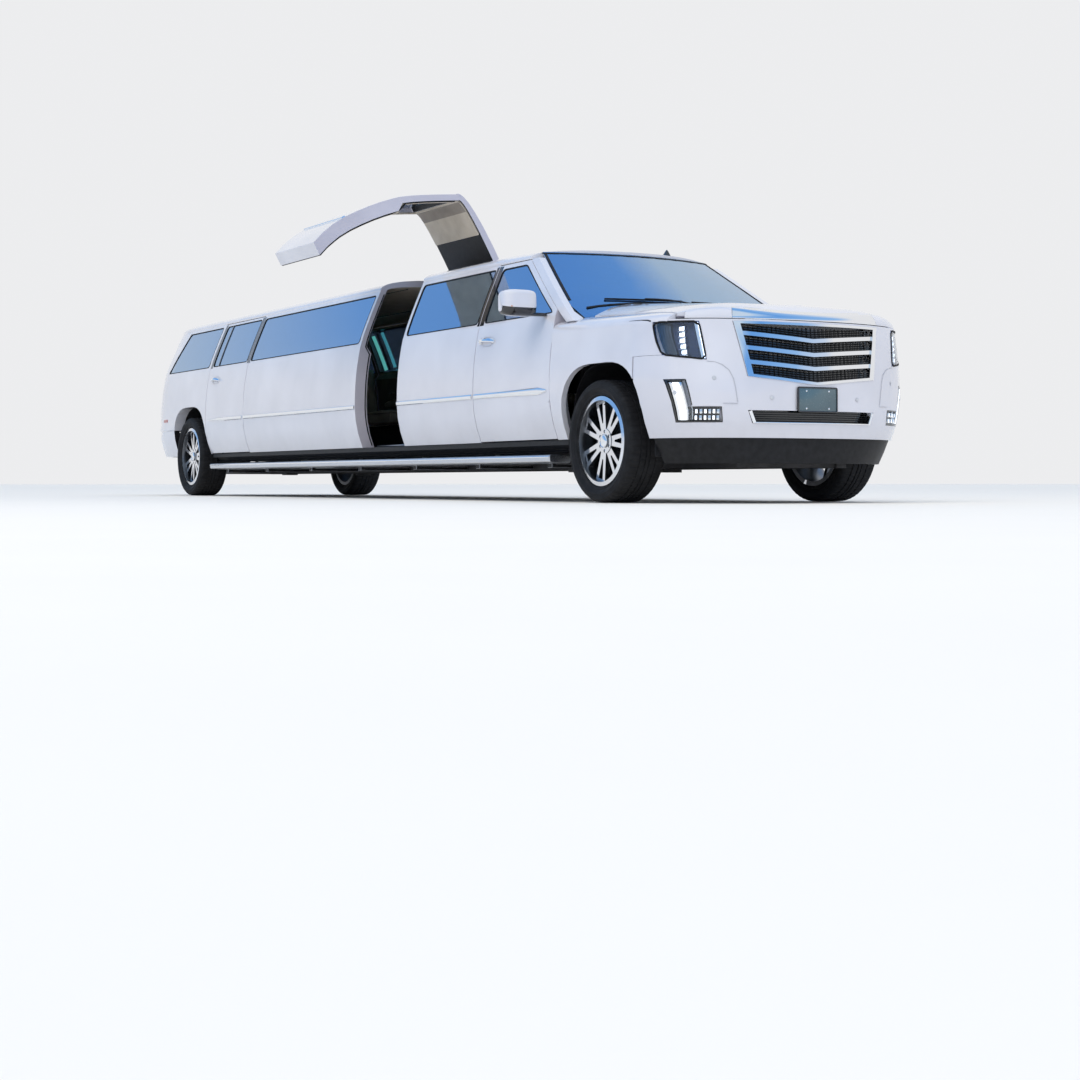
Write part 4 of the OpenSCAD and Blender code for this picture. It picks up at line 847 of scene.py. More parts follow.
kit = Kit()
for x in (WING_SPAN[0] + 0.010, WING_SPAN[1] - 0.010):
    zs = [0.445 + 0.02 * k for k in range(0, 65, 4)] + [1.735]
    path = wing_turn([(x, wing_inner(z, 0.004), z) for z in zs])
    kit.sweep(path, (math.copysign(1, x - 0.6), 0, 0), ring(0.008, 8), 0)
path = wing_turn([(x, wing_inner(0.446, 0.003), 0.446) for x in (0.20, 0.4, 0.6, 0.8, 1.0)])
kit.sweep(path, WING_LIFT @ Vector((0, 0, -1)), ring(0.008, 8), 0)
kit.done("wing_door_seal", "gull_wing", "black_plastic", SEAL)

kit = Kit()
for x, way in ((WING_DOOR[0], 1), (WING_DOOR[1], -1)):
    zs = [0.450 + 0.0645 * k for k in range(21)]
    path = [Vector((x - way * 0.002, wall(z) - side_half(x, z) - 0.014 * min(1.0, wall(z) / 0.08), z)) for z in zs]
    kit.sweep(path, (way, 0, 0), ring(0.0065, 8), 0)
kit.done("doorway_seals", "car", "black_plastic", SEAL)

kit = Kit()
kit.block((0.800, 0.074, 0.009), move(WING_MID, -0.791, 0.4445), 0.003, 0)
for k in range(5):
    kit.block((0.740, 0.006, 0.004), move(WING_MID, -0.816 + 0.0125 * k, 0.4495), 0.0015, 1)
kit.done("sill_plate", "car", "silver_board", [BRUSHED, BLACK])

kit = Kit()
strap = ((0.640, 0.016), (0.625, 0.034), (0.600, 0.044), (0.560, 0.046), (0.520, 0.044), (0.495, 0.034), (0.480, 0.016))
strap = [(0.600, wing_inner(z, lift), z) for z, lift in strap]
kit.sweep(wing_turn(strap), (1, 0, 0), strip(0.004, 0.028, 0.0), 0)
for z in (0.640, 0.480):
    spot = wing_turn([(0.614, wing_inner(z, 0.018), z)])[0]
    kit.block((0.044, 0.034, 0.012), move(*spot) @ Matrix.Rotation(math.pi / 2 - WING_OPEN, 4, "X"), 0.004, 1)
kit.done("wing_pull_strap", "gull_wing", "cream_leather", [BLACK_LEATHER, CHROME])


# Front lamps

LAMP_OUTER = ((0.780, 4.951), (0.935, 4.871), (1.030, 4.823), (1.120, 4.791), (1.220, 4.781))


def lamp_outer(z):
    for (z0, x0), (z1, x1) in zip(LAMP_OUTER, LAMP_OUTER[1:]):
        if z <= z1:
            return lerp(x0, x1, (z - z0) / (z1 - z0))
    return x1


def lamp_point(u, v, depth, side=RIGHT):
    """The headlamp's face: u runs from its outer to its inner edge, v from below to above."""
    z = lerp(lerp(0.939, 0.907, u), 1.1515, v)
    low = solve(1.0, 89.0, lambda a: nose_point(a, z).x - lamp_outer(z) - 0.001)
    high = nose_angle(lerp(-0.743, -0.770, (z - 0.906) / 0.246), z)
    p = nose_point(lerp(low, high, u), z, depth)
    return Vector((p.x, -side * p.y, p.z))


def lamp_frame(u, v, depth, side):
    """A frame on the lamp whose Z points out of it."""
    out = lamp_point(u, v, depth - 0.01, side) - lamp_point(u, v, depth, side)
    return at(lamp_point(u, v, depth, side), out)


def headlamp(s, side):
    grid = [k / 8 for k in range(9)]
    inner = [0.02 + 0.96 * k / 8 for k in range(9)]

    def face(u, v, depth):
        return lamp_point(u, v, depth, side)
    kit = Kit()
    kit.sheet(inner, inner, face, 0.004, 0.008)
    kit.done(f"headlamp_lens_{s}", "car", "lamp_lens", CLEAR, 50)
    kit = Kit()
    kit.sheet(grid, grid, face, 0.082, 0.088, 0)
    for u in (0.0, 0.985):
        kit.sheet([u, u + 0.015], grid, face, 0.002, 0.084, 0)
    for v in (0.0, 0.985):
        kit.sheet(grid, [v, v + 0.015], face, 0.002, 0.084, 0)
    edge = [(k / 10, 0.008) for k in range(1, 10)] + [(0.992, k / 10) for k in range(1, 10)] + \
           [(1 - k / 10, 0.992) for k in range(1, 10)] + [(0.008, 1 - k / 10) for k in range(1, 10)]
    path = [face(u, v, 0.001) for u, v in edge]
    normals = [face(u, v, -0.01) - face(u, v, 0.0) for u, v in edge]
    kit.sweep(path, normals, strip(0.012, 0.003, 0.004), 1, closed=True)
    # Dark reflector with upright ribs, on the outer side
    for k in range(5):
        rib = [0.05 + 0.055 * k, 0.088 + 0.055 * k]
        kit.sheet(rib, [0.05 + 0.225 * j for j in range(5)], face, 0.030 + 0.006 * k, 0.080, 2)
    # Bright strip along the inner edge
    for edges, mat in (([0.895, 0.945], 3), ([0.955, 0.968], 4)):
        kit.sheet(edges, [0.03 + 0.235 * j for j in range(5)], face, 0.012, 0.03, mat)
    # Five projector cubes in bright cups
    for k in range(5):
        v = 0.135 + 0.165 * k
        u = 0.53 + 0.020 * k
        spot = lamp_frame(u, v, 0.046, side)
        kit.block((0.042, 0.030, 0.040), spot, 0.005, 3)
        kit.block((0.033, 0.022, 0.012), spot @ move(0, 0, 0.018), 0.004, 4, 3)
        kit.block((0.052, 0.0035, 0.050), spot @ move(0, -0.0185, 0), 0.001, 3)
    kit.done(f"headlamp_unit_{s}", "car", "lamp_lens", [NAVY, SEAL, DARK_CHROME, CHROME, LED], 40)


def corner_lamp(s, side):
    """L-shaped lamp low on the corner: an upright light bar and a short row of cubes."""
    knee = 0.612

    def at_face(y, z, depth):
        p = nose_xyz(y, z, depth)
        return Vector((p.x, -side * p.y, p.z))

    def upright(u, v, depth):
        z = lerp(0.5135, 0.7835, v)
        left = lerp(-0.8845, -0.9490, v)
        right = lerp(-0.8185, -0.8565, (z - knee) / 0.173) if z > knee else lerp(-0.8110, -0.8190, v)
        return at_face(lerp(left, right, u), z, depth)

    def foot(u, v, depth):
        z = lerp(0.5135, 0.6110, v)
        return at_face(lerp(-0.830, lerp(-0.6515, -0.6610, v), u), z, depth)
    kit = Kit()
    tall = [k / 8 for k in range(9)]
    kit.sheet([0, 0.5, 1], tall, upright, 0.034, 0.040, 0)
    kit.sheet([0, 0.25, 0.5, 0.75, 1], [0, 0.5, 1], foot, 0.034, 0.040, 0)
    kit.sheet([0.0, 0.09], tall, upright, 0.001, 0.036, 0)
    kit.sheet([0.93, 1.0], [0.40, 0.55, 0.7, 0.85, 1.0], upright, 0.001, 0.036, 0)
    for us, vs, face in (([0.0, 0.5, 1.0], [0.965, 1.0], upright), ([0.0, 0.5, 1.0], [0.0, 0.03], upright),
                         ([0.1, 0.4, 0.7, 1.0], [0.92, 1.0], foot), ([0.1, 0.4, 0.7, 1.0], [0.0, 0.08], foot),
                         ([0.965, 1.0], [0.0, 0.5, 1.0], foot)):
        kit.sheet(us, vs, face, 0.001, 0.036, 0)
    for low, high, near, far, mat in ((0.13, 0.24, 0.004, 0.030, 1), (0.28, 0.56, 0.003, 0.026, 2),
                                      (0.60, 0.70, 0.006, 0.030, 1), (0.73, 0.90, 0.010, 0.030, 3)):
        kit.sheet([low, high], [0.05 + 0.11 * k for k in range(9)], upright, near, far, mat)
    for k in range(6):
        y = -0.800 + 0.0235 * k
        for z in (0.542, 0.582):
            spot = at(at_face(y, z, 0.020), at_face(y, z, -0.01) - at_face(y, z, 0.0))
            kit.block((0.0185, 0.030, 0.024), spot, 0.003, 1)
            kit.block((0.0140, 0.024, 0.008), spot @ move(0, 0, 0.010), 0.002, 3 if k % 2 else 2)
    kit.done(f"corner_lamp_{s}", "car", "lamp_lens", [GLOSS, CHROME, LED_SOFT, GLASSY], 40)


for s, side in SIDES:
    headlamp(s, side)
    corner_lamp(s, side)
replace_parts(bpy.data.objects["headlamp_unit_right"], "front_lamps")


# Nose: fine bars behind the grille, intake, plate, seams, sensors

def nose_run(kit, points, profile, depth=0.0):
    """A profile along the nose, sunk below its surface by a depth."""
    path = [nose_xyz(y, z, depth) for y, z in points]
    kit.sweep(path, [nose_normal(p.y, p.z) for p in path], profile)


def plate_rim(kit, plate, height, lift, width):
    """Rounded rim of a plate, in the plate's own frame."""
    outline = spread(soft(corners(0.153, height), 0.010, 3), 0.05)
    out = plate.to_3x3() @ Vector((0, 0, 1))
    kit.sweep([plate @ Vector((x, y, lift)) for x, y in outline], out, strip(width, 0.008, 0.003), 1, closed=True)


def screw(kit, place, low, mat):
    kit.lathe([(0.0003, low), (0.0062, low), (0.0062, low + 0.0022), (0.0040, low + 0.0038), (0.0003, low + 0.0042)],
              place, 14, mat)


kit = Kit()
for row in range(24):
    z = 0.800 + 0.0148 * row
    half = lerp(0.462, 0.528, (z - 0.80) / 0.35)
    ys = [half * (-1 + k / 6) for k in range(13)]
    nose_run(kit, [(y, z - 0.040 * (1 - abs(y) / 0.57)) for y in ys], strip(0.004, 0.006), 0.047)
for col in range(30):
    y = -0.500 + col / 29
    low = 0.93 if abs(y) > 0.455 else lerp(0.772, 0.820, abs(y) / 0.5)
    path = [nose_xyz(y, lerp(low, 1.128, k / 4), 0.049) for k in range(5)]
    kit.sweep(path, [nose_normal(y, p.z) for p in path], strip(0.003, 0.003), 0)
for row in range(5):
    nose_run(kit, [(0.455 * (-1 + k / 6), 0.522 + 0.0140 * row) for k in range(13)], strip(0.004, 0.020), 0.030)
kit.done("grille_mesh", "car", "black_plastic", SEAL)

kit = Kit()
for side in (RIGHT, LEFT):
    ends = [(side * 0.4845, 0.5855), (side * 0.470, 0.549), (side * 0.4555, 0.5125)]
    nose_run(kit, ends, strip(0.022, 0.006, 0.030))
nose_run(kit, [(0.462 * (-1 + k / 6), 0.5120) for k in range(13)], strip(0.008, 0.006, 0.02))
kit.done("intake_trim", "car", "chrome", CHROME)

kit = Kit()
plate = at((NOSE_X + 0.0035, 0, 0.662), (1, 0, 0))
kit.block((0.302, 0.150, 0.003), plate @ move(0, 0, 0.0035), 0.0012, 0)
plate_rim(kit, plate, 0.077, 0.001, 0.012)
kit.block((0.290, 0.130, 0.006), plate @ move(0, 0, -0.002), 0.002, 2)
for x, y in ((-0.089, 0.056), (0.089, 0.056), (-0.089, -0.056), (0.089, -0.056)):
    screw(kit, plate @ move(x, y, 0), 0.004, 3)
kit.done("front_plate", "car", "black_plastic", [PLATE, GLOSS, BLACK, CHROME])

kit = Kit()
upright_seam = ((0.742, 0.897), (0.70, 0.893), (0.655, 0.876), (0.615, 0.842), (0.592, 0.790), (0.580, 0.730),
                (0.572, 0.672), (0.566, 0.640))
level_seam = [(y, 0.632) for y in (0.566, 0.60, 0.63, 0.655)]
for side in (RIGHT, LEFT):
    for seam in (upright_seam, level_seam):
        nose_run(kit, [(side * y, z) for y, z in seam], strip(0.0035, 0.0008, 0.001))
    for y, z in ((0.707, 0.790), (0.340, 0.670), (0.905, 0.700)):
        spot = at(nose_xyz(side * y, z), nose_normal(side * y, z))
        kit.lathe([(0.0003, -0.002), (0.0125, -0.002), (0.0125, 0.0008), (0.0112, 0.0014), (0.0003, 0.0012)],
                  spot, 20, 1)
        kit.lathe([(0.0126, -0.002), (0.0138, -0.002), (0.0138, 0.0006), (0.0126, 0.0009)], spot, 20, 0)
kit.done("nose_seams", "car", "black_plastic", [SHADE, SENSOR])


# Side trim

def moulding(name, side, body, x0, x1, wide, raised=False):
    """Bright strip along the side; wide(t) is its height along its length."""
    count = max(4, round(abs(x1 - x0) / 0.12))
    points = [(lerp(x0, x1, k / count), MOULDING_Z) for k in range(count + 1)]
    path, normals = along_side(points, side, raised=raised)
    kit = Kit()
    kit.sweep(path, normals, strip(1.0, 0.009, 0.002), 0, scale=lambda t: (wide(t), 1.0))
    kit.done(name, body, "chrome", CHROME)


def handle(name, side, body, x):
    """Bright pull handle over a shallow cup, with its lock cover."""
    z, length = 1.172, 0.215
    kit = Kit()
    count = 14
    path, normals = [], []
    for k in range(count + 1):
        t = k / count
        arch = 0.010 + 0.026 * math.sin(math.pi * t) ** 0.6
        xx = x + length * (t - 0.5)
        path.append(side_point(xx, z + 0.004 * math.sin(math.pi * t), side, arch))
        normals.append(side_normal(xx, z, side))
    kit.sweep(path, normals, [(-0.012, -0.004), (-0.006, -0.007), (0.006, -0.007), (0.012, -0.004), (0.013, 0.002),
                              (0.007, 0.007), (-0.007, 0.007), (-0.013, 0.002)], 0)
    for t in (0.03, 0.97):
        spot = side_point(x + length * (t - 0.5), z, side, 0.005)
        kit.block((0.034, 0.030, 0.016), at(spot, side_normal(x, z, side)), 0.006, 0, 3)
    # The cup is not sunk: a grey ring round it is painted shade at its edge
    cup = spread(soft(corners(0.075, 0.034, x, z), 0.032, 6), 0.03)
    kit.sweep(*along_side(cup, side), strip(0.004, 0.0016, 0.001), 1, closed=True)
    kit.done(name, body, "chrome", [CHROME, SHADE])


for s, side in SIDES:
    moulding(f"moulding_front_door_{s}", side, f"swing_front_{s}", 2.400, 3.500,
             lambda t: 0.036 + 0.020 * t ** 2 if t < 0.93 else 0.056 * (1 - (t - 0.93) / 0.07 * 0.75))
    moulding(f"moulding_rear_door_{s}", side, f"swing_rear_{s}", -3.560, -2.585,
             lambda t: 0.006 + 0.028 * min(1.0, t * 2.5))
    if side == RIGHT:
        moulding("moulding_front_right", side, "car", 1.030, 2.362, lambda t: 0.034 + 0.002 * t)
        moulding("moulding_rear_right", side, "car", -2.535, 0.168, lambda t: 0.034)
        moulding("moulding_wing_door", side, "gull_wing", WING_SPAN[0] + 0.014, WING_SPAN[1] - 0.014, lambda t: 0.034,
                 raised=True)
    else:
        moulding("moulding_side_left", side, "car", -2.535, 2.362, lambda t: 0.034)
    handle(f"handle_front_{s}", side, f"swing_front_{s}", 2.560)
    handle(f"handle_rear_{s}", side, f"swing_rear_{s}", -3.420)

# Running boards: tread strips and bright edge
for s, side in SIDES:
    kit = Kit()
    for k in range(5):
        kit.block((7.000, 0.010, 0.005), move(0.0, side * (0.895 + 0.022 * k), 0.3262 + 0.0006 * k), 0.002, 0)
    kit.block((7.06, 0.006, 0.010), move(0.0, side * 1.0185, 0.312), 0.0025, 1)
    kit.done(f"board_treads_{s}", "car", "silver_board", [BLACK, CHROME])
    # Dark line from the headlamp along the fender's top, and the rear side marker
    kit = Kit()
    spots = [(4.775, 1.158), (4.745, 1.166), (4.70, 1.170), (4.65, 1.172), (4.60, 1.173), (4.55, 1.174)]
    tree = tree_of("fenders")
    path, normals = map(list, zip(*[hit(tree, (x, side * 2, z), (0, -side, 0)) for x, z in spots]))
    kit.sweep(path, normals, strip(0.010, 0.0016, 0.003), 0, scale=lambda t: (1.0 - 0.8 * t, 1.0))
    kit.done(f"lamp_tail_line_{s}", "car", "black_plastic", [SEAL])
    kit = Kit()
    marks = [side_point(-5.02 + 0.03 * k, 0.800, side) for k in range(5)]
    kit.sweep(marks, [side_normal(p.x, p.z, side) for p in marks], strip(0.030, 0.006), 0)
    kit.done(f"rear_marker_{s}", "car", "red_lens", [RED_LENS])

# Lip along the hood's leading edge: bright over the grille, painted beside it
hood_tree = tree_of("hood")


def hood_lip(name, slot, mat, y0, y1):
    rows = []
    for k in range(25):
        y = lerp(y0, y1, k / 24)
        tops = [hit(hood_tree, nose_xyz(y, LIP_Z, d) + Vector((0, 0, 0.5)), (0, 0, -1))[0] for d in (0.058, 0.080)]
        front, back = (top.z if top else 1.19 for top in tops)
        shape = ((0.004, 1.1710), (0.003, 1.1755), (0.008, lerp(1.175, front, 0.35)), (0.024, lerp(1.175, front, 0.74)),
                 (0.046, front - 0.0005), (0.060, front + 0.0012), (0.080, back + 0.0008), (0.080, back - 0.006),
                 (0.052, front - 0.010), (0.026, lerp(1.172, front, 0.30)), (0.014, 1.1710))
        rows.append([Vector((*nose_xyz(y, LIP_Z, depth).xy, z)) for depth, z in shape])
    kit = Kit()
    kit.rings(rows)
    kit.done(name, "hood_lid", slot, mat, 50)


hood_lip("hood_lip", "chrome", CHROME, -0.575, 0.575)
hood_lip("hood_lip_right", "white_paint", PEARL, -0.842, -0.578)
hood_lip("hood_lip_left", "white_paint", PEARL, 0.578, 0.842)

# Mirrors: rounded cap over a dark lower half, arm, glass, turn lamp
for s, side in SIDES:
    kit = Kit()
    face = soft([(-0.058, -0.092), (0.040, -0.092), (0.064, -0.040), (0.050, 0.092), (-0.058, 0.092)], 0.034, 7)
    rows = []
    for k in range(15):
        t = -1 + k / 7
        t = math.copysign(1 - (1 - abs(t)) ** 1.8, t)
        full = (1 - abs(t) ** 4) ** 0.5
        rows.append([Vector((3.329 + (x + 0.058) * lerp(0.5, 1.0, full), side * (1.1755 + 0.132 * t),
                             1.381 + z * lerp(0.66, 1.0, full))) for x, z in face])
    kit.rings(rows)
    low = [0.5 * (face[k][1] + face[(k + 1) % len(face)][1]) < -0.036 for k in range(len(face))]
    for k in range(14 * len(face)):
        kit.mats[k] = 1 if low[k % len(face)] else 0
    kit.block((0.076, 0.130, 0.025), move(3.387, side * 1.036, 1.3055), 0.009, 1, 4)
    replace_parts(kit.done(f"mirror_shell_{s}", f"swing_front_{s}", "white_paint", [PEARL, GLOSS], 50), f"mirror_{s}")
    kit = Kit()
    back = at((3.3275, side * 1.1755, 1.3815), (-1, 0, 0))
    outline = spread(soft(corners(0.112, 0.074), 0.026, 6), 0.04)
    kit.sweep([back @ Vector((x, y, 0)) for x, y in outline], (-1, 0, 0), strip(0.007, 0.006, 0.006), 0, closed=True)
    kit.block((0.218, 0.142, 0.003), back @ move(0, 0, 0.0018), 0.0012, 1)
    lamp = [(3.4375, side * y, 1.352) for y in (1.12, 1.17, 1.22, 1.265)]
    kit.sweep([Vector(p) for p in lamp], (1, 0, 0.25), strip(0.009, 0.006), 2)
    kit.done(f"mirror_glass_{s}", f"swing_front_{s}", "chrome", [BLACK, MIRROR, AMBER])

# Wipers and the dark cowl strip along the windscreen's foot
kit = Kit()
edge = [screen_xyz(0.80 * (-1 + k / 8), 1.392 - 0.052 * abs(-1 + k / 8) ** 3, 0.002) for k in range(17)]
kit.sweep(edge, SCREEN_OUT, strip(0.020, 0.004), 1)
for y0, y1 in ((-0.62, -0.02), (0.06, 0.66)):
    blade = [screen_xyz(lerp(y0, y1, k / 8), 1.410 + 0.004 * k / 8, 0.010) for k in range(9)]
    kit.sweep(blade, SCREEN_OUT, [(-0.005, -0.007), (0.005, -0.007), (0.003, 0.002), (0.0, 0.005), (-0.003, 0.002)], 0)
    arm = [screen_xyz(lerp(y1 + 0.10, (y0 + y1) / 2, t), lerp(1.378, 1.412, t), 0.016 + 0.012 * math.sin(math.pi * t))
           for t in (k / 5 for k in range(6))]
    kit.sweep(arm, SCREEN_OUT, [(-0.008, -0.003), (0.008, -0.003), (0.006, 0.004), (-0.006, 0.004)], 0)
    kit.lathe([(0.0003, -0.008), (0.017, -0.008), (0.016, 0.012), (0.009, 0.017), (0.0003, 0.018)],
              at(screen_xyz(y1 + 0.10, 1.378, 0.012), SCREEN_OUT, (0, 1, 0)), 18, 0)
kit.done("wipers", "car", "black_plastic", [BLACK, SEAL])

# Screen border and mirror foot seen through the windscreen
kit = Kit()
top = [screen_xyz(0.72 * (-1 + k / 8), 1.806, 0.0012) for k in range(17)]
kit.sweep(top, SCREEN_OUT, strip(0.022, 0.0012, 0.0008), 0)
for side in (RIGHT, LEFT):
    run = []
    for k in range(9):
        z = lerp(1.400, 1.800, k / 8)
        half = section_half(max(BELT_Z, z)) - wall(z) - 0.014
        run.append(screen_xyz(side * half, z, 0.0012))
    kit.sweep(run, SCREEN_OUT, strip(0.022, 0.0012, 0.0008), 0)
spot = screen_xyz(0.0, 1.74, -0.030)
kit.block((0.030, 0.070, 0.050), move(*spot), 0.010, 1, 3)
kit.block((0.022, 0.230, 0.066), move(spot.x - 0.065, 0, spot.z - 0.055), 0.010, 1, 3)
kit.done("screen_border", "car", "black_plastic", [SEAL, BLACK])

# Roof fin
roof_tree = tree_of("roof")
kit = Kit()
base, _ = hit(roof_tree, (2.78, 0.42, 3), (0, 0, -1))
fin = []
for k in range(9):
    t = k / 8
    wide = 0.020 * math.sin(math.pi * min(1.0, 0.06 + 0.94 * t)) ** 0.7 + 0.002
    tall = 0.058 * (1 - abs(2 * (1 - t) ** 1.6 - 1) ** 1.4) + 0.004
    x = base.x + 0.075 - 0.15 * t
    fin.append([Vector((x, base.y + w, base.z - 0.003 + h)) for w, h in
                ((-wide, 0), (wide, 0), (wide * 0.75, tall * 0.35), (wide * 0.3, tall * 0.85), (0, tall),
                 (-wide * 0.3, tall * 0.85), (-wide * 0.75, tall * 0.35))])
kit.rings(fin, 0)
kit.done("roof_fin", "car", "black_plastic", [GLOSS])


# Tail: lamp lenses, plate, tailgate trim with wiper, bumper step, glass seal

def tail_xyz(y, z, out=0.0):
    half = section_half(z)
    x = TAIL_START + (tail_at(z) - TAIL_START) * (1 - min(1.0, abs(y) / half) ** 5) ** 0.2
    return Vector((x - out, y, z))


kit = Kit()
lamp_tree, gate_tree = tree_of("tail_lamps"), tree_of("tailgate")
LENS_WIDTH, LENS_POINTS = 0.046, 9
LENS_ZS = [0.712 + 0.0435 * k for k in range(25)]


def lens_start(side, z):
    """Distance from the middle at which the lamp begins beside the tailgate, seen from behind."""
    for k in range(180):
        y = 0.58 + 0.002 * k
        lamp, _ = hit(lamp_tree, (-7, side * y, z), (1, 0, 0))
        gate, _ = hit(gate_tree, (-7, side * y, z), (1, 0, 0))
        if lamp is not None and (gate is None or lamp.x < gate.x):
            return y + 0.004
    return None


def lens_row(side, z, start):
    """Places and outward ways along the tail's corner, from the tailgate's edge outwards."""
    half, deep = section_half(z), tail_at(z) - TAIL_START
    turn = math.asin(min(1.0, (start / half) ** 2.5))
    walk = []
    while turn < 1.56:
        walk.append(Vector((TAIL_START + deep * math.cos(turn) ** 0.4, side * half * math.sin(turn) ** 0.4, z)))
        turn += 0.004
    row, gone = [], 0.0
    for here, there in zip(walk, walk[1:]):
        while len(row) < LENS_POINTS and gone >= LENS_WIDTH * len(row) / (LENS_POINTS - 1):
            run = (there - here).normalized()
            row.append((here.copy(), Vector((-abs(run.y), side * abs(run.x), 0))))
        gone += (there - here).length
    return row


for side in (RIGHT, LEFT):
    starts = [(z, lens_start(side, z)) for z in LENS_ZS]
    rows = [lens_row(side, z, start) for z, start in starts if start]
    rows = [row for row in rows if len(row) == LENS_POINTS]
    last = len(rows) - 1

    def lens(u, v, out):
        place, way = rows[u][v]
        rim = u in (0, last) or v in (0, LENS_POINTS - 1)
        return place + way * (out * (0.4 if rim and out > 0 else 1.0))

    kit.sheet(range(last + 1), range(LENS_POINTS), lens, 0.006, -0.003, 2)
    for v, width, mat in ((1, 0.004, 1), (4, 0.009, 0), (7, 0.004, 1)):
        path = [lens(u, v, 0.0055) for u in range(1, last)]
        kit.sweep(path, [row[v][1] for row in rows[1:last]], strip(width, 0.002), mat)
kit.done("tail_light_strips", "car", "red_lens", [LED_RED, CHROME, RED_LENS])

kit = Kit()
plate = at((TAIL_X + 0.0150, 0, 0.595), (-1, 0, 0))
kit.block((0.300, 0.112, 0.003), plate, 0.0012, 0)
plate_rim(kit, plate, 0.059, -0.002, 0.010)
for x in (-0.089, 0.089):
    screw(kit, plate @ move(x, 0.025, 0), 0.001, 2)
kit.done("rear_plate", "car", "black_plastic", [PLATE, GLOSS, CHROME])

kit = Kit()
bar = [tail_xyz(0.62 * (-1 + k / 8), 0.960, 0.0) for k in range(17)]
kit.sweep(bar, (-1, 0, 0), strip(0.046, 0.014, 0.003), 0)
grip = [tail_xyz(0.12 * (-1 + k / 4), 0.925, 0.0) for k in range(9)]
kit.sweep(grip, (-1, 0, 0), strip(0.022, 0.010, 0.003), 1)
arm = [Vector((tail_at(z) - 0.012 - lift, y, z)) for y, z, lift in
       ((0.0, 1.300, 0.004), (0.08, 1.325, 0.012), (0.20, 1.345, 0.012), (0.32, TAIL_WIPER_Z, 0.004))]
kit.sweep(arm, (-1, 0, 0.2), [(-0.007, -0.003), (0.007, -0.003), (0.005, 0.005), (-0.005, 0.005)], 1)
blade = [Vector((tail_at(TAIL_WIPER_Z) - 0.004, y, TAIL_WIPER_Z)) for y in (0.14, 0.24, 0.34, 0.44, 0.50)]
kit.sweep(blade, (-1, 0, 0.2), [(-0.006, -0.004), (0.006, -0.004), (0.003, 0.007), (-0.003, 0.007)], 1)
kit.lathe([(0.0003, -0.004), (0.018, -0.004), (0.017, 0.012), (0.010, 0.018), (0.0003, 0.019)],
          at(Vector((tail_at(1.300) - 0.002, 0, 1.300)), (-1, 0, 0.2)), 18, 1)
kit.done("tailgate_trim", "tail_lid", "chrome", [CHROME, BLACK])

kit = Kit()
step = [tail_xyz(0.78 * (-1 + k / 8), 0.684, 0.001) for k in range(17)]
kit.sweep(step, (0, 0, 1), strip(0.020, 0.008, 0.004), 0)
for side in (RIGHT, LEFT):
    spot = [tail_xyz(side * (0.70 + 0.03 * k), 0.500, 0.0) for k in range(4)]
    kit.sweep(spot, (-1, 0, 0), strip(0.046, 0.005, 0.004), 1)
kit.done("rear_bumper_trim", "car", "black_plastic", [BLACK, RED_LENS])
seal_path = spread(soft([(-0.690, 1.300), (0.690, 1.300), (0.590, 1.715), (-0.590, 1.715)], 0.042), 0.08)
kit = Kit()
kit.sweep([tail_xyz(y, z, -0.003) for y, z in seal_path], (-1, 0, 0.26), strip(0.012, 0.006, 0.003), 0, closed=True)
kit.done("tailgate_glass_seal", "tail_lid", "black_plastic", SEAL)


# Seats: crowned cushions with sewn channels and piping

def cushion(kit, place, size, crown, channels):
    """A soft pad: rounded and crowned, sides drawn in between the corners, sewn channels on its face.
    Its face looks along the place's Z."""
    sx, sy, sz = size[0] / 2, size[1] / 2, size[2] / 2
    nx, ny = 30, 20

    def edge(t):
        return math.copysign(1 - (1 - abs(t)) ** 1.6, t)

    def spot(a, b, top):
        a, b = edge(a), edge(b)
        pull = 0.018
        x = sx * a * (1 - pull * (1 - b * b) * abs(a))
        y = sy * b * (1 - pull * (1 - a * a) * abs(b))
        rim = max(abs(a), abs(b))
        fall = (1 - rim ** 6)
        z = sz * (0.55 + 0.45 * fall ** 0.5) if top else -sz * (0.75 + 0.25 * fall ** 0.5)
        if top:
            z += crown * (1 - a * a) * (1 - b * b)
            for k in range(1, channels + 1):
                line = -1 + 2 * k / (channels + 1)
                z -= 0.011 * math.exp(-((a - line) / 0.035) ** 2) * fall ** 0.5
        return place @ Vector((x, y, z))
    verts = []
    for top in (True, False):
        for i in range(nx + 1):
            for j in range(ny + 1):
                verts.append(spot(-1 + 2 * i / nx, -1 + 2 * j / ny, top))
    half = (nx + 1) * (ny + 1)
    faces = []
    for i in range(nx):
        for j in range(ny):
            a = i * (ny + 1) + j
            b, c, d = a + 1, a + ny + 2, a + ny + 1
            faces += [(a, d, c, b), (half + a, half + b, half + c, half + d)]
    border = border_of(nx + 1, ny + 1)
    for k, a in enumerate(border):
        b = border[(k + 1) % len(border)]
        faces.append((a, half + a, half + b, b))
    kit.put(verts, faces, 0)
    loop = [verts[k] for k in border]
    out = (place.to_3x3() @ Vector((0, 0, 1))).normalized()
    kit.sweep(loop, out, ring(0.0055, 6), 1, closed=True)


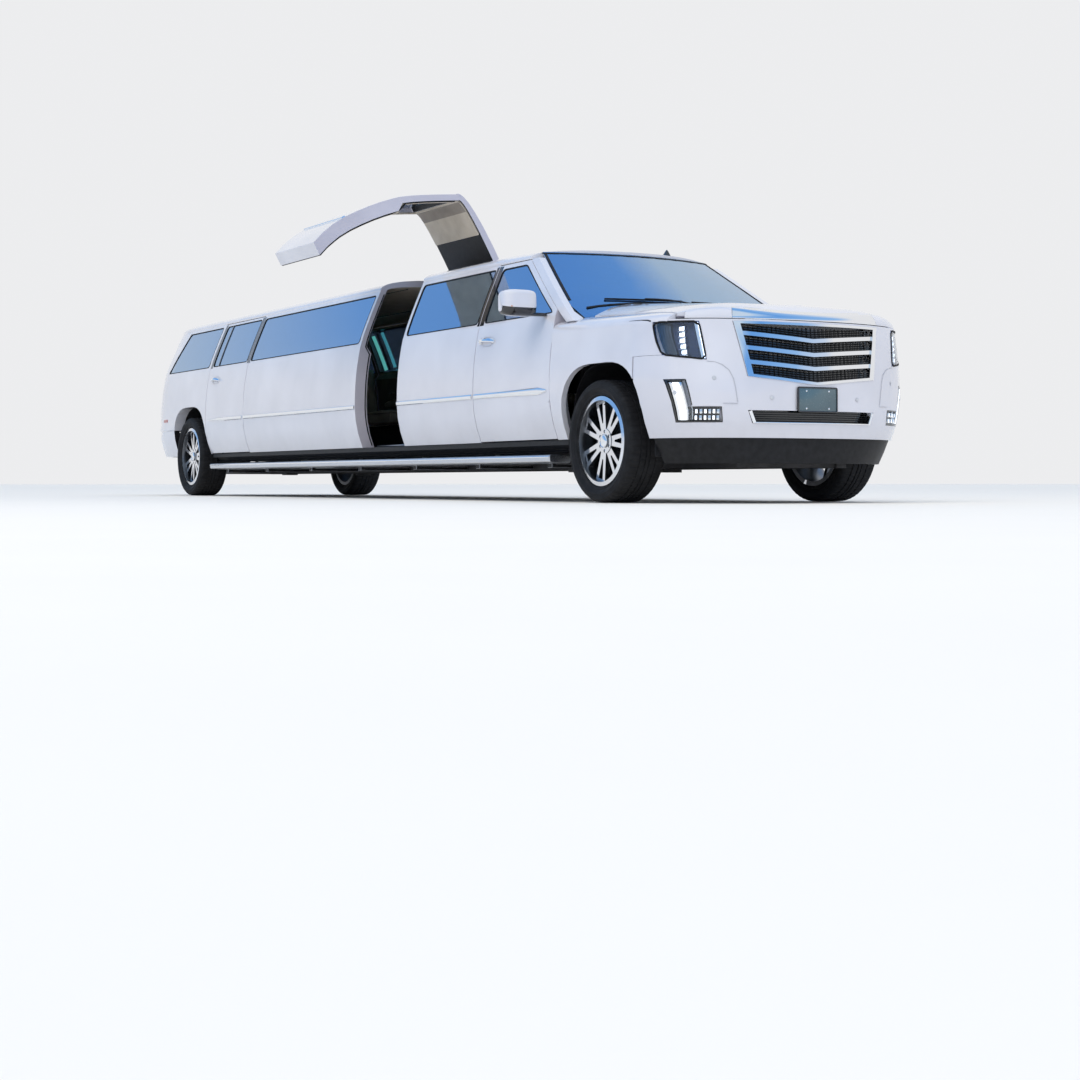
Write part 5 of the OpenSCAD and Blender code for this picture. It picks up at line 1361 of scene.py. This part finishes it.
def bench(name, origin, turn, width, pads, back_top, depth, head=False):
    """A row of seat and back pads on a plinth; gives the piece of the pads."""
    each = width / pads
    foot = move(*origin) @ Matrix.Rotation(turn, 4, "Z")
    soft_kit, plinth = Kit(), Kit()
    for k in range(pads):
        base = foot @ move(0, each * (k + 0.5) - width / 2, 0)
        sit = base @ move(0.150 + (depth - 0.150) / 2, 0, 0.318) @ turned(-3, "Y")
        cushion(soft_kit, sit, (depth - 0.160, each - 0.012, 0.130), 0.020, 3)
        tall = back_top - 0.380 - (0.190 if head else 0.0)
        rest = base @ move(0.085 - 0.12 * tall / 2, 0, 0.385 + tall / 2) @ turned(78, "Y") @ turned(180, "Z")
        cushion(soft_kit, rest, (tall - 0.010, each - 0.020, 0.125), 0.016, 3)
        if head:
            top = base @ move(-0.025, 0, back_top - 0.085) @ turned(82, "Y") @ turned(180, "Z")
            cushion(soft_kit, top, (0.160, 0.260, 0.090), 0.012, 1)
            for w in (-0.06, 0.06):
                post = [base @ Vector((x, w, back_top - drop))
                        for x, drop in ((-0.005, 0.26), (-0.012, 0.20), (-0.020, 0.13))]
                plinth.sweep(post, (0, 1, 0), ring(0.006, 10), 1)
    plinth.block((depth - 0.075, width - 0.030, 0.236), foot @ move(0.005 + (depth - 0.05) / 2, 0, 0.1195), 0.012, 0, 3)
    plinth.block((depth - 0.16, width - 0.010, 0.012), foot @ move(0.150 + (depth - 0.16) / 2, 0, 0.243), 0.004, 1)
    high, half = back_top - (0.20 if head else 0.02), width / 2
    shell = [foot @ Vector((0.012 - 0.12 * t, 0, lerp(0.240, high, t))) for t in (0, 0.33, 0.66, 1)]
    plinth.sweep(shell, foot.to_3x3() @ Vector((-1, 0, -0.12)),
                 [(-half + 0.006, -0.02), (half - 0.006, -0.02), (half - 0.010, 0.012), (half - 0.04, 0.022),
                  (-half + 0.04, 0.022), (-half + 0.010, 0.012)], 0)
    pads_piece = soft_kit.done(f"{name}_pads", "car", "cream_leather", [LEATHER, PIPING], 60)
    plinth.done(f"{name}_plinth", "car", "black_plastic", [BLACK_LEATHER, CHROME])
    return pads_piece


first = bench("chair_right", (2.471, -0.400, FLOOR_Z), 0.0, 0.520, 1, 0.930, 0.560, head=True)
bench("chair_left", (2.471, 0.400, FLOOR_Z), 0.0, 0.520, 1, 0.930, 0.560, head=True)
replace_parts(first, "front_seats")
lounge = bench("lounge_side", (-0.5866, 0.620, FLOOR_Z), -math.pi / 2, 3.279, 5, 0.860, 0.520)
bench("lounge_rear", (-3.425, 0.0, FLOOR_Z), 0.0, 1.480, 3, 0.880, 0.600)
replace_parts(lounge, "lounge_seats")

# Cabin light lines, a glowing sheet of painted light at the left rear window, and the fittings of the bar
kit = Kit()
line = [Vector((x, 0.122, 0.690)) for x in (-2.20, -1.4, -0.6, 0.2, 1.03)]
kit.sweep(line, (0, -1, 0), strip(0.012, 0.008, 0.003), 1)
for y in (-0.45, 0.45):
    line = [hit(roof_tree, (lerp(-3.4, 0.0, k / 8), y, 1.0), (0, 0, 1))[0] + Vector((0, 0, -0.001)) for k in range(9)]
    kit.sweep(line, (0, 0, -1), strip(0.016, 0.009, 0.002), 1)
kit.done("cabin_light_lines", "car", "lamp_lens", [TEAL, GLASSY])
# Glowing teal sheet just inside the left rear window: no lamp, painted light for the bright outside seen through the
# glass
kit = Kit()
blade = [side_point(-3.400 + 0.06 * (1.54 - z), z, LEFT, -0.066) for z in (1.35, 1.44, 1.53, 1.62, 1.71)]
kit.sweep(blade, (0, -1, 0.25), strip(0.060, 0.012, 0.004), 0)
kit.done("window_light_glow", "swing_rear_left", "lamp_lens", [TEAL])

kit = Kit()
bar_low, bar_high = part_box("bar_cabinet")
top_z = bar_high[2]
for k in range(5):
    x = lerp(bar_low[0] + 0.14, bar_high[0] - 0.14, k / 4)
    spot = move(x, bar_low[1] + 0.24, bar_low[2] + 0.3300)
    kit.lathe([(0.0005, 0.0), (0.030, 0.0), (0.029, 0.003), (0.006, 0.006), (0.004, 0.050), (0.008, 0.056),
               (0.030, 0.078), (0.036, 0.105), (0.031, 0.140), (0.0295, 0.140), (0.034, 0.105), (0.028, 0.080),
               (0.0005, 0.060)], spot, 28, 0)
x = bar_low[0] + 0.30
kit.lathe([(0.0005, 0.0), (0.070, 0.0), (0.082, 0.010), (0.094, 0.160), (0.098, 0.164), (0.098, 0.170), (0.090, 0.170),
           (0.078, 0.014), (0.0005, 0.010)], move(x, bar_low[1] + 0.18, top_z), 40, 1)
for along, across in ((0.32, 0.20), (0.43, 0.23)):
    kit.lathe([(0.0005, 0.0), (0.036, 0.0), (0.038, 0.004), (0.038, 0.150), (0.030, 0.185), (0.014, 0.205),
               (0.013, 0.260), (0.015, 0.262), (0.015, 0.275), (0.0005, 0.276)],
              move(x + along, bar_low[1] + across, top_z), 32, 2)
rail = [Vector((x, bar_high[1] - 0.012, top_z + 0.022))
        for x in (bar_low[0] + 0.02, 0.5 * (bar_low[0] + bar_high[0]), bar_high[0] - 0.02)]
kit.sweep(rail, (0, 0, 1), ring(0.006, 10), 1)
for p in rail:
    kit.lathe([(0.0003, -0.0225), (0.012, -0.0225), (0.012, -0.019), (0.0045, -0.017), (0.0045, 0.0), (0.0003, 0.001)],
              move(*p), 14, 1)
for k in range(3):
    x = lerp(bar_low[0] + 0.25, bar_high[0] - 0.25, k / 2)
    pull = [Vector((x + 0.06 * t, bar_high[1] + 0.022 * (1 - t * t) ** 0.5, bar_low[2] + 0.200))
            for t in (-1, -0.7, -0.3, 0.3, 0.7, 1)]
    kit.sweep(pull, (0, 0, 1), ring(0.005, 10), 1)
kit.done("bar_fittings", "car", "chrome", [GLASSY, CHROME, BOTTLE])

# Dashboard: gauge hood with its dials, screen, vents, wooden trim
kit = Kit()
kit.block((0.070, 0.360, 0.130), move(3.150, 0.390, 1.196), 0.025, 0, 4)
kit.block((0.004, 0.300, 0.085), move(3.1150, 0.390, 1.196), 0.0015, 1)
for y in (0.315, 0.465):
    place = at((3.1135, y, 1.196), (-1, 0, 0))
    kit.lathe([(0.034, -0.001), (0.038, -0.001), (0.038, 0.004), (0.034, 0.004)], place, 32, 2)
    for k in range(9):
        tick = place @ turned(-120 + 30 * k, "Z") @ move(0, 0.028, 0.001)
        kit.block((0.0016, 0.007, 0.001), tick, 0.0003, 3, 1)
kit.block((0.012, 0.270, 0.170), move(3.188, 0.0, 1.085) @ turned(-8, "Y"), 0.005, 1, 3)
for y in (-0.56, -0.20, 0.20, 0.60):
    kit.block((0.012, 0.120, 0.062), move(3.206, y, 1.145) @ turned(20, "Y"), 0.005, 2)
    for k in range(4):
        kit.block((0.014, 0.108, 0.004), move(3.203, y, 1.124 + 0.014 * k) @ turned(20, "Y"), 0.001, 0)
trim = [Vector((3.205, y, 1.045)) for y in (-0.76, -0.4, -0.15)]
kit.sweep(trim, (-1, 0, 0.1), strip(0.050, 0.006, 0.004), 4)
kit.done("dashboard_fittings", "car", "black_plastic", [BLACK, GLOSS, CHROME, LED_SOFT, WOOD])


# Door cards: arm rest and pull

def arm_rest_size(t):
    rise = math.sin(math.pi * t)
    return 0.55 + 0.45 * rise, 0.4 + 0.6 * rise


for s, side in SIDES:
    for door, x0, x1 in (("front", 2.52, 3.20), ("rear", -3.45, -2.75)):
        kit = Kit()
        z = 0.960
        inner = side * (side_half(lerp(x0, x1, 0.5), z) - 0.110)
        run = [Vector((lerp(x0, x1, k / 8), inner, z + 0.02 * math.sin(math.pi * k / 8))) for k in range(9)]
        kit.sweep(run, (0, -side, 0), strip(0.085, 0.036, 0.002), 0, scale=arm_rest_size)
        pull = [Vector((x0 + x, inner - side * lift, 1.075))
                for x, lift in ((0.12, 0.002), (0.14, 0.022), (0.22, 0.028), (0.30, 0.022), (0.32, 0.002))]
        kit.sweep(pull, (0, 0, 1), ring(0.008, 10), 1)
        kit.done(f"door_card_{door}_{s}", f"swing_{door}_{s}", "cream_leather", [LEATHER, CHROME])


# Stage, lights and camera

def stage():
    mesh = bpy.data.meshes.new("floor")
    size = 150
    mesh.from_pydata([(x, y, -0.001) for x, y in corners(size, size)], [], [(0, 1, 2, 3)])
    floor = bpy.data.objects.new("floor", mesh)
    SCENE.collection.objects.link(floor)
    mat, tree, bsdf = shader("pale_floor", (0.86, 0.86, 0.86), 0.8, Specular_IOR_Level=0.2)
    tinted(tree, bsdf, 1.5, (0.885, 0.835, 0.765), (0.895, 0.845, 0.775))
    mesh.materials.append(mat)
    world = bpy.data.worlds.new("studio")
    world.use_nodes = True
    tree = world.node_tree
    where = node(tree, "ShaderNodeTexCoord")
    split = node(tree, "ShaderNodeSeparateXYZ")
    tree.links.new(where.outputs["Generated"], split.inputs["Vector"])
    ahead, across, above = (split.outputs[axis] for axis in "XYZ")
    lean = sums(tree, "MULTIPLY", sums(tree, "MAXIMUM", ahead, 0.0), 0.72)
    lean = sums(tree, "MULTIPLY_ADD", across, -0.6, lean)
    # The sky's colour fades out towards the horizon, all round
    fade = sums(tree, "MULTIPLY", above, 14.0, use_clamp=True)
    lean = sums(tree, "MULTIPLY_ADD", lean, fade, above)
    sky = ramp(tree, lean, [(0.0, (0.98, 0.985, 1.0)), (0.34, (0.98, 0.985, 1.0)), (0.48, (0.34, 0.60, 1.0)),
                            (0.80, (0.16, 0.42, 0.92)), (0.95, (0.50, 0.72, 1.0)), (1.0, (0.7, 0.84, 1.0))])
    tree.links.new(sky, tree.nodes["Background"].inputs["Color"])
    tree.nodes["Background"].inputs["Strength"].default_value = 0.86
    SCENE.world = world
    for label, kind, place, aim, power, tone in (
            ("key", "AREA", (10, -14, 13), (1, 0, 0.8), 800, (1.0, 0.96, 0.92)),
            ("top", "SUN", (4, -3, 15), (0, 0, 0), 1.1, (1.0, 0.90, 0.78)),
            ("front", "AREA", (19, 5, 6), (4, 0, 0.8), 250, (1.0, 0.98, 0.96))):
        light = bpy.data.lights.new(label, kind)
        light.energy = power
        light.color = tone
        if kind == "SUN":
            light.angle = math.radians(70)
        else:
            light.size = 9
        lamp = bpy.data.objects.new(label, light)
        lamp.location = place
        lamp.rotation_euler = (Vector(aim) - Vector(place)).to_track_quat("-Z", "Y").to_euler()
        lamp.visible_glossy = False
        SCENE.collection.objects.link(lamp)
    SCENE.view_settings.view_transform = "Standard"
    camera = bpy.data.objects.new("camera", bpy.data.cameras.new("camera"))
    camera.data.sensor_width = 36
    camera.data.lens = 62.9
    camera.data.shift_y = -0.0528
    camera.data.clip_end = 400
    camera.location = (14.915, -7.404, 0.131)
    off_nose = math.radians(29.02)
    heading = Vector((-math.cos(off_nose), math.sin(off_nose), 0))
    camera.rotation_euler = heading.to_track_quat("-Z", "Y").to_euler()
    SCENE.collection.objects.link(camera)
    SCENE.camera = camera


stage()
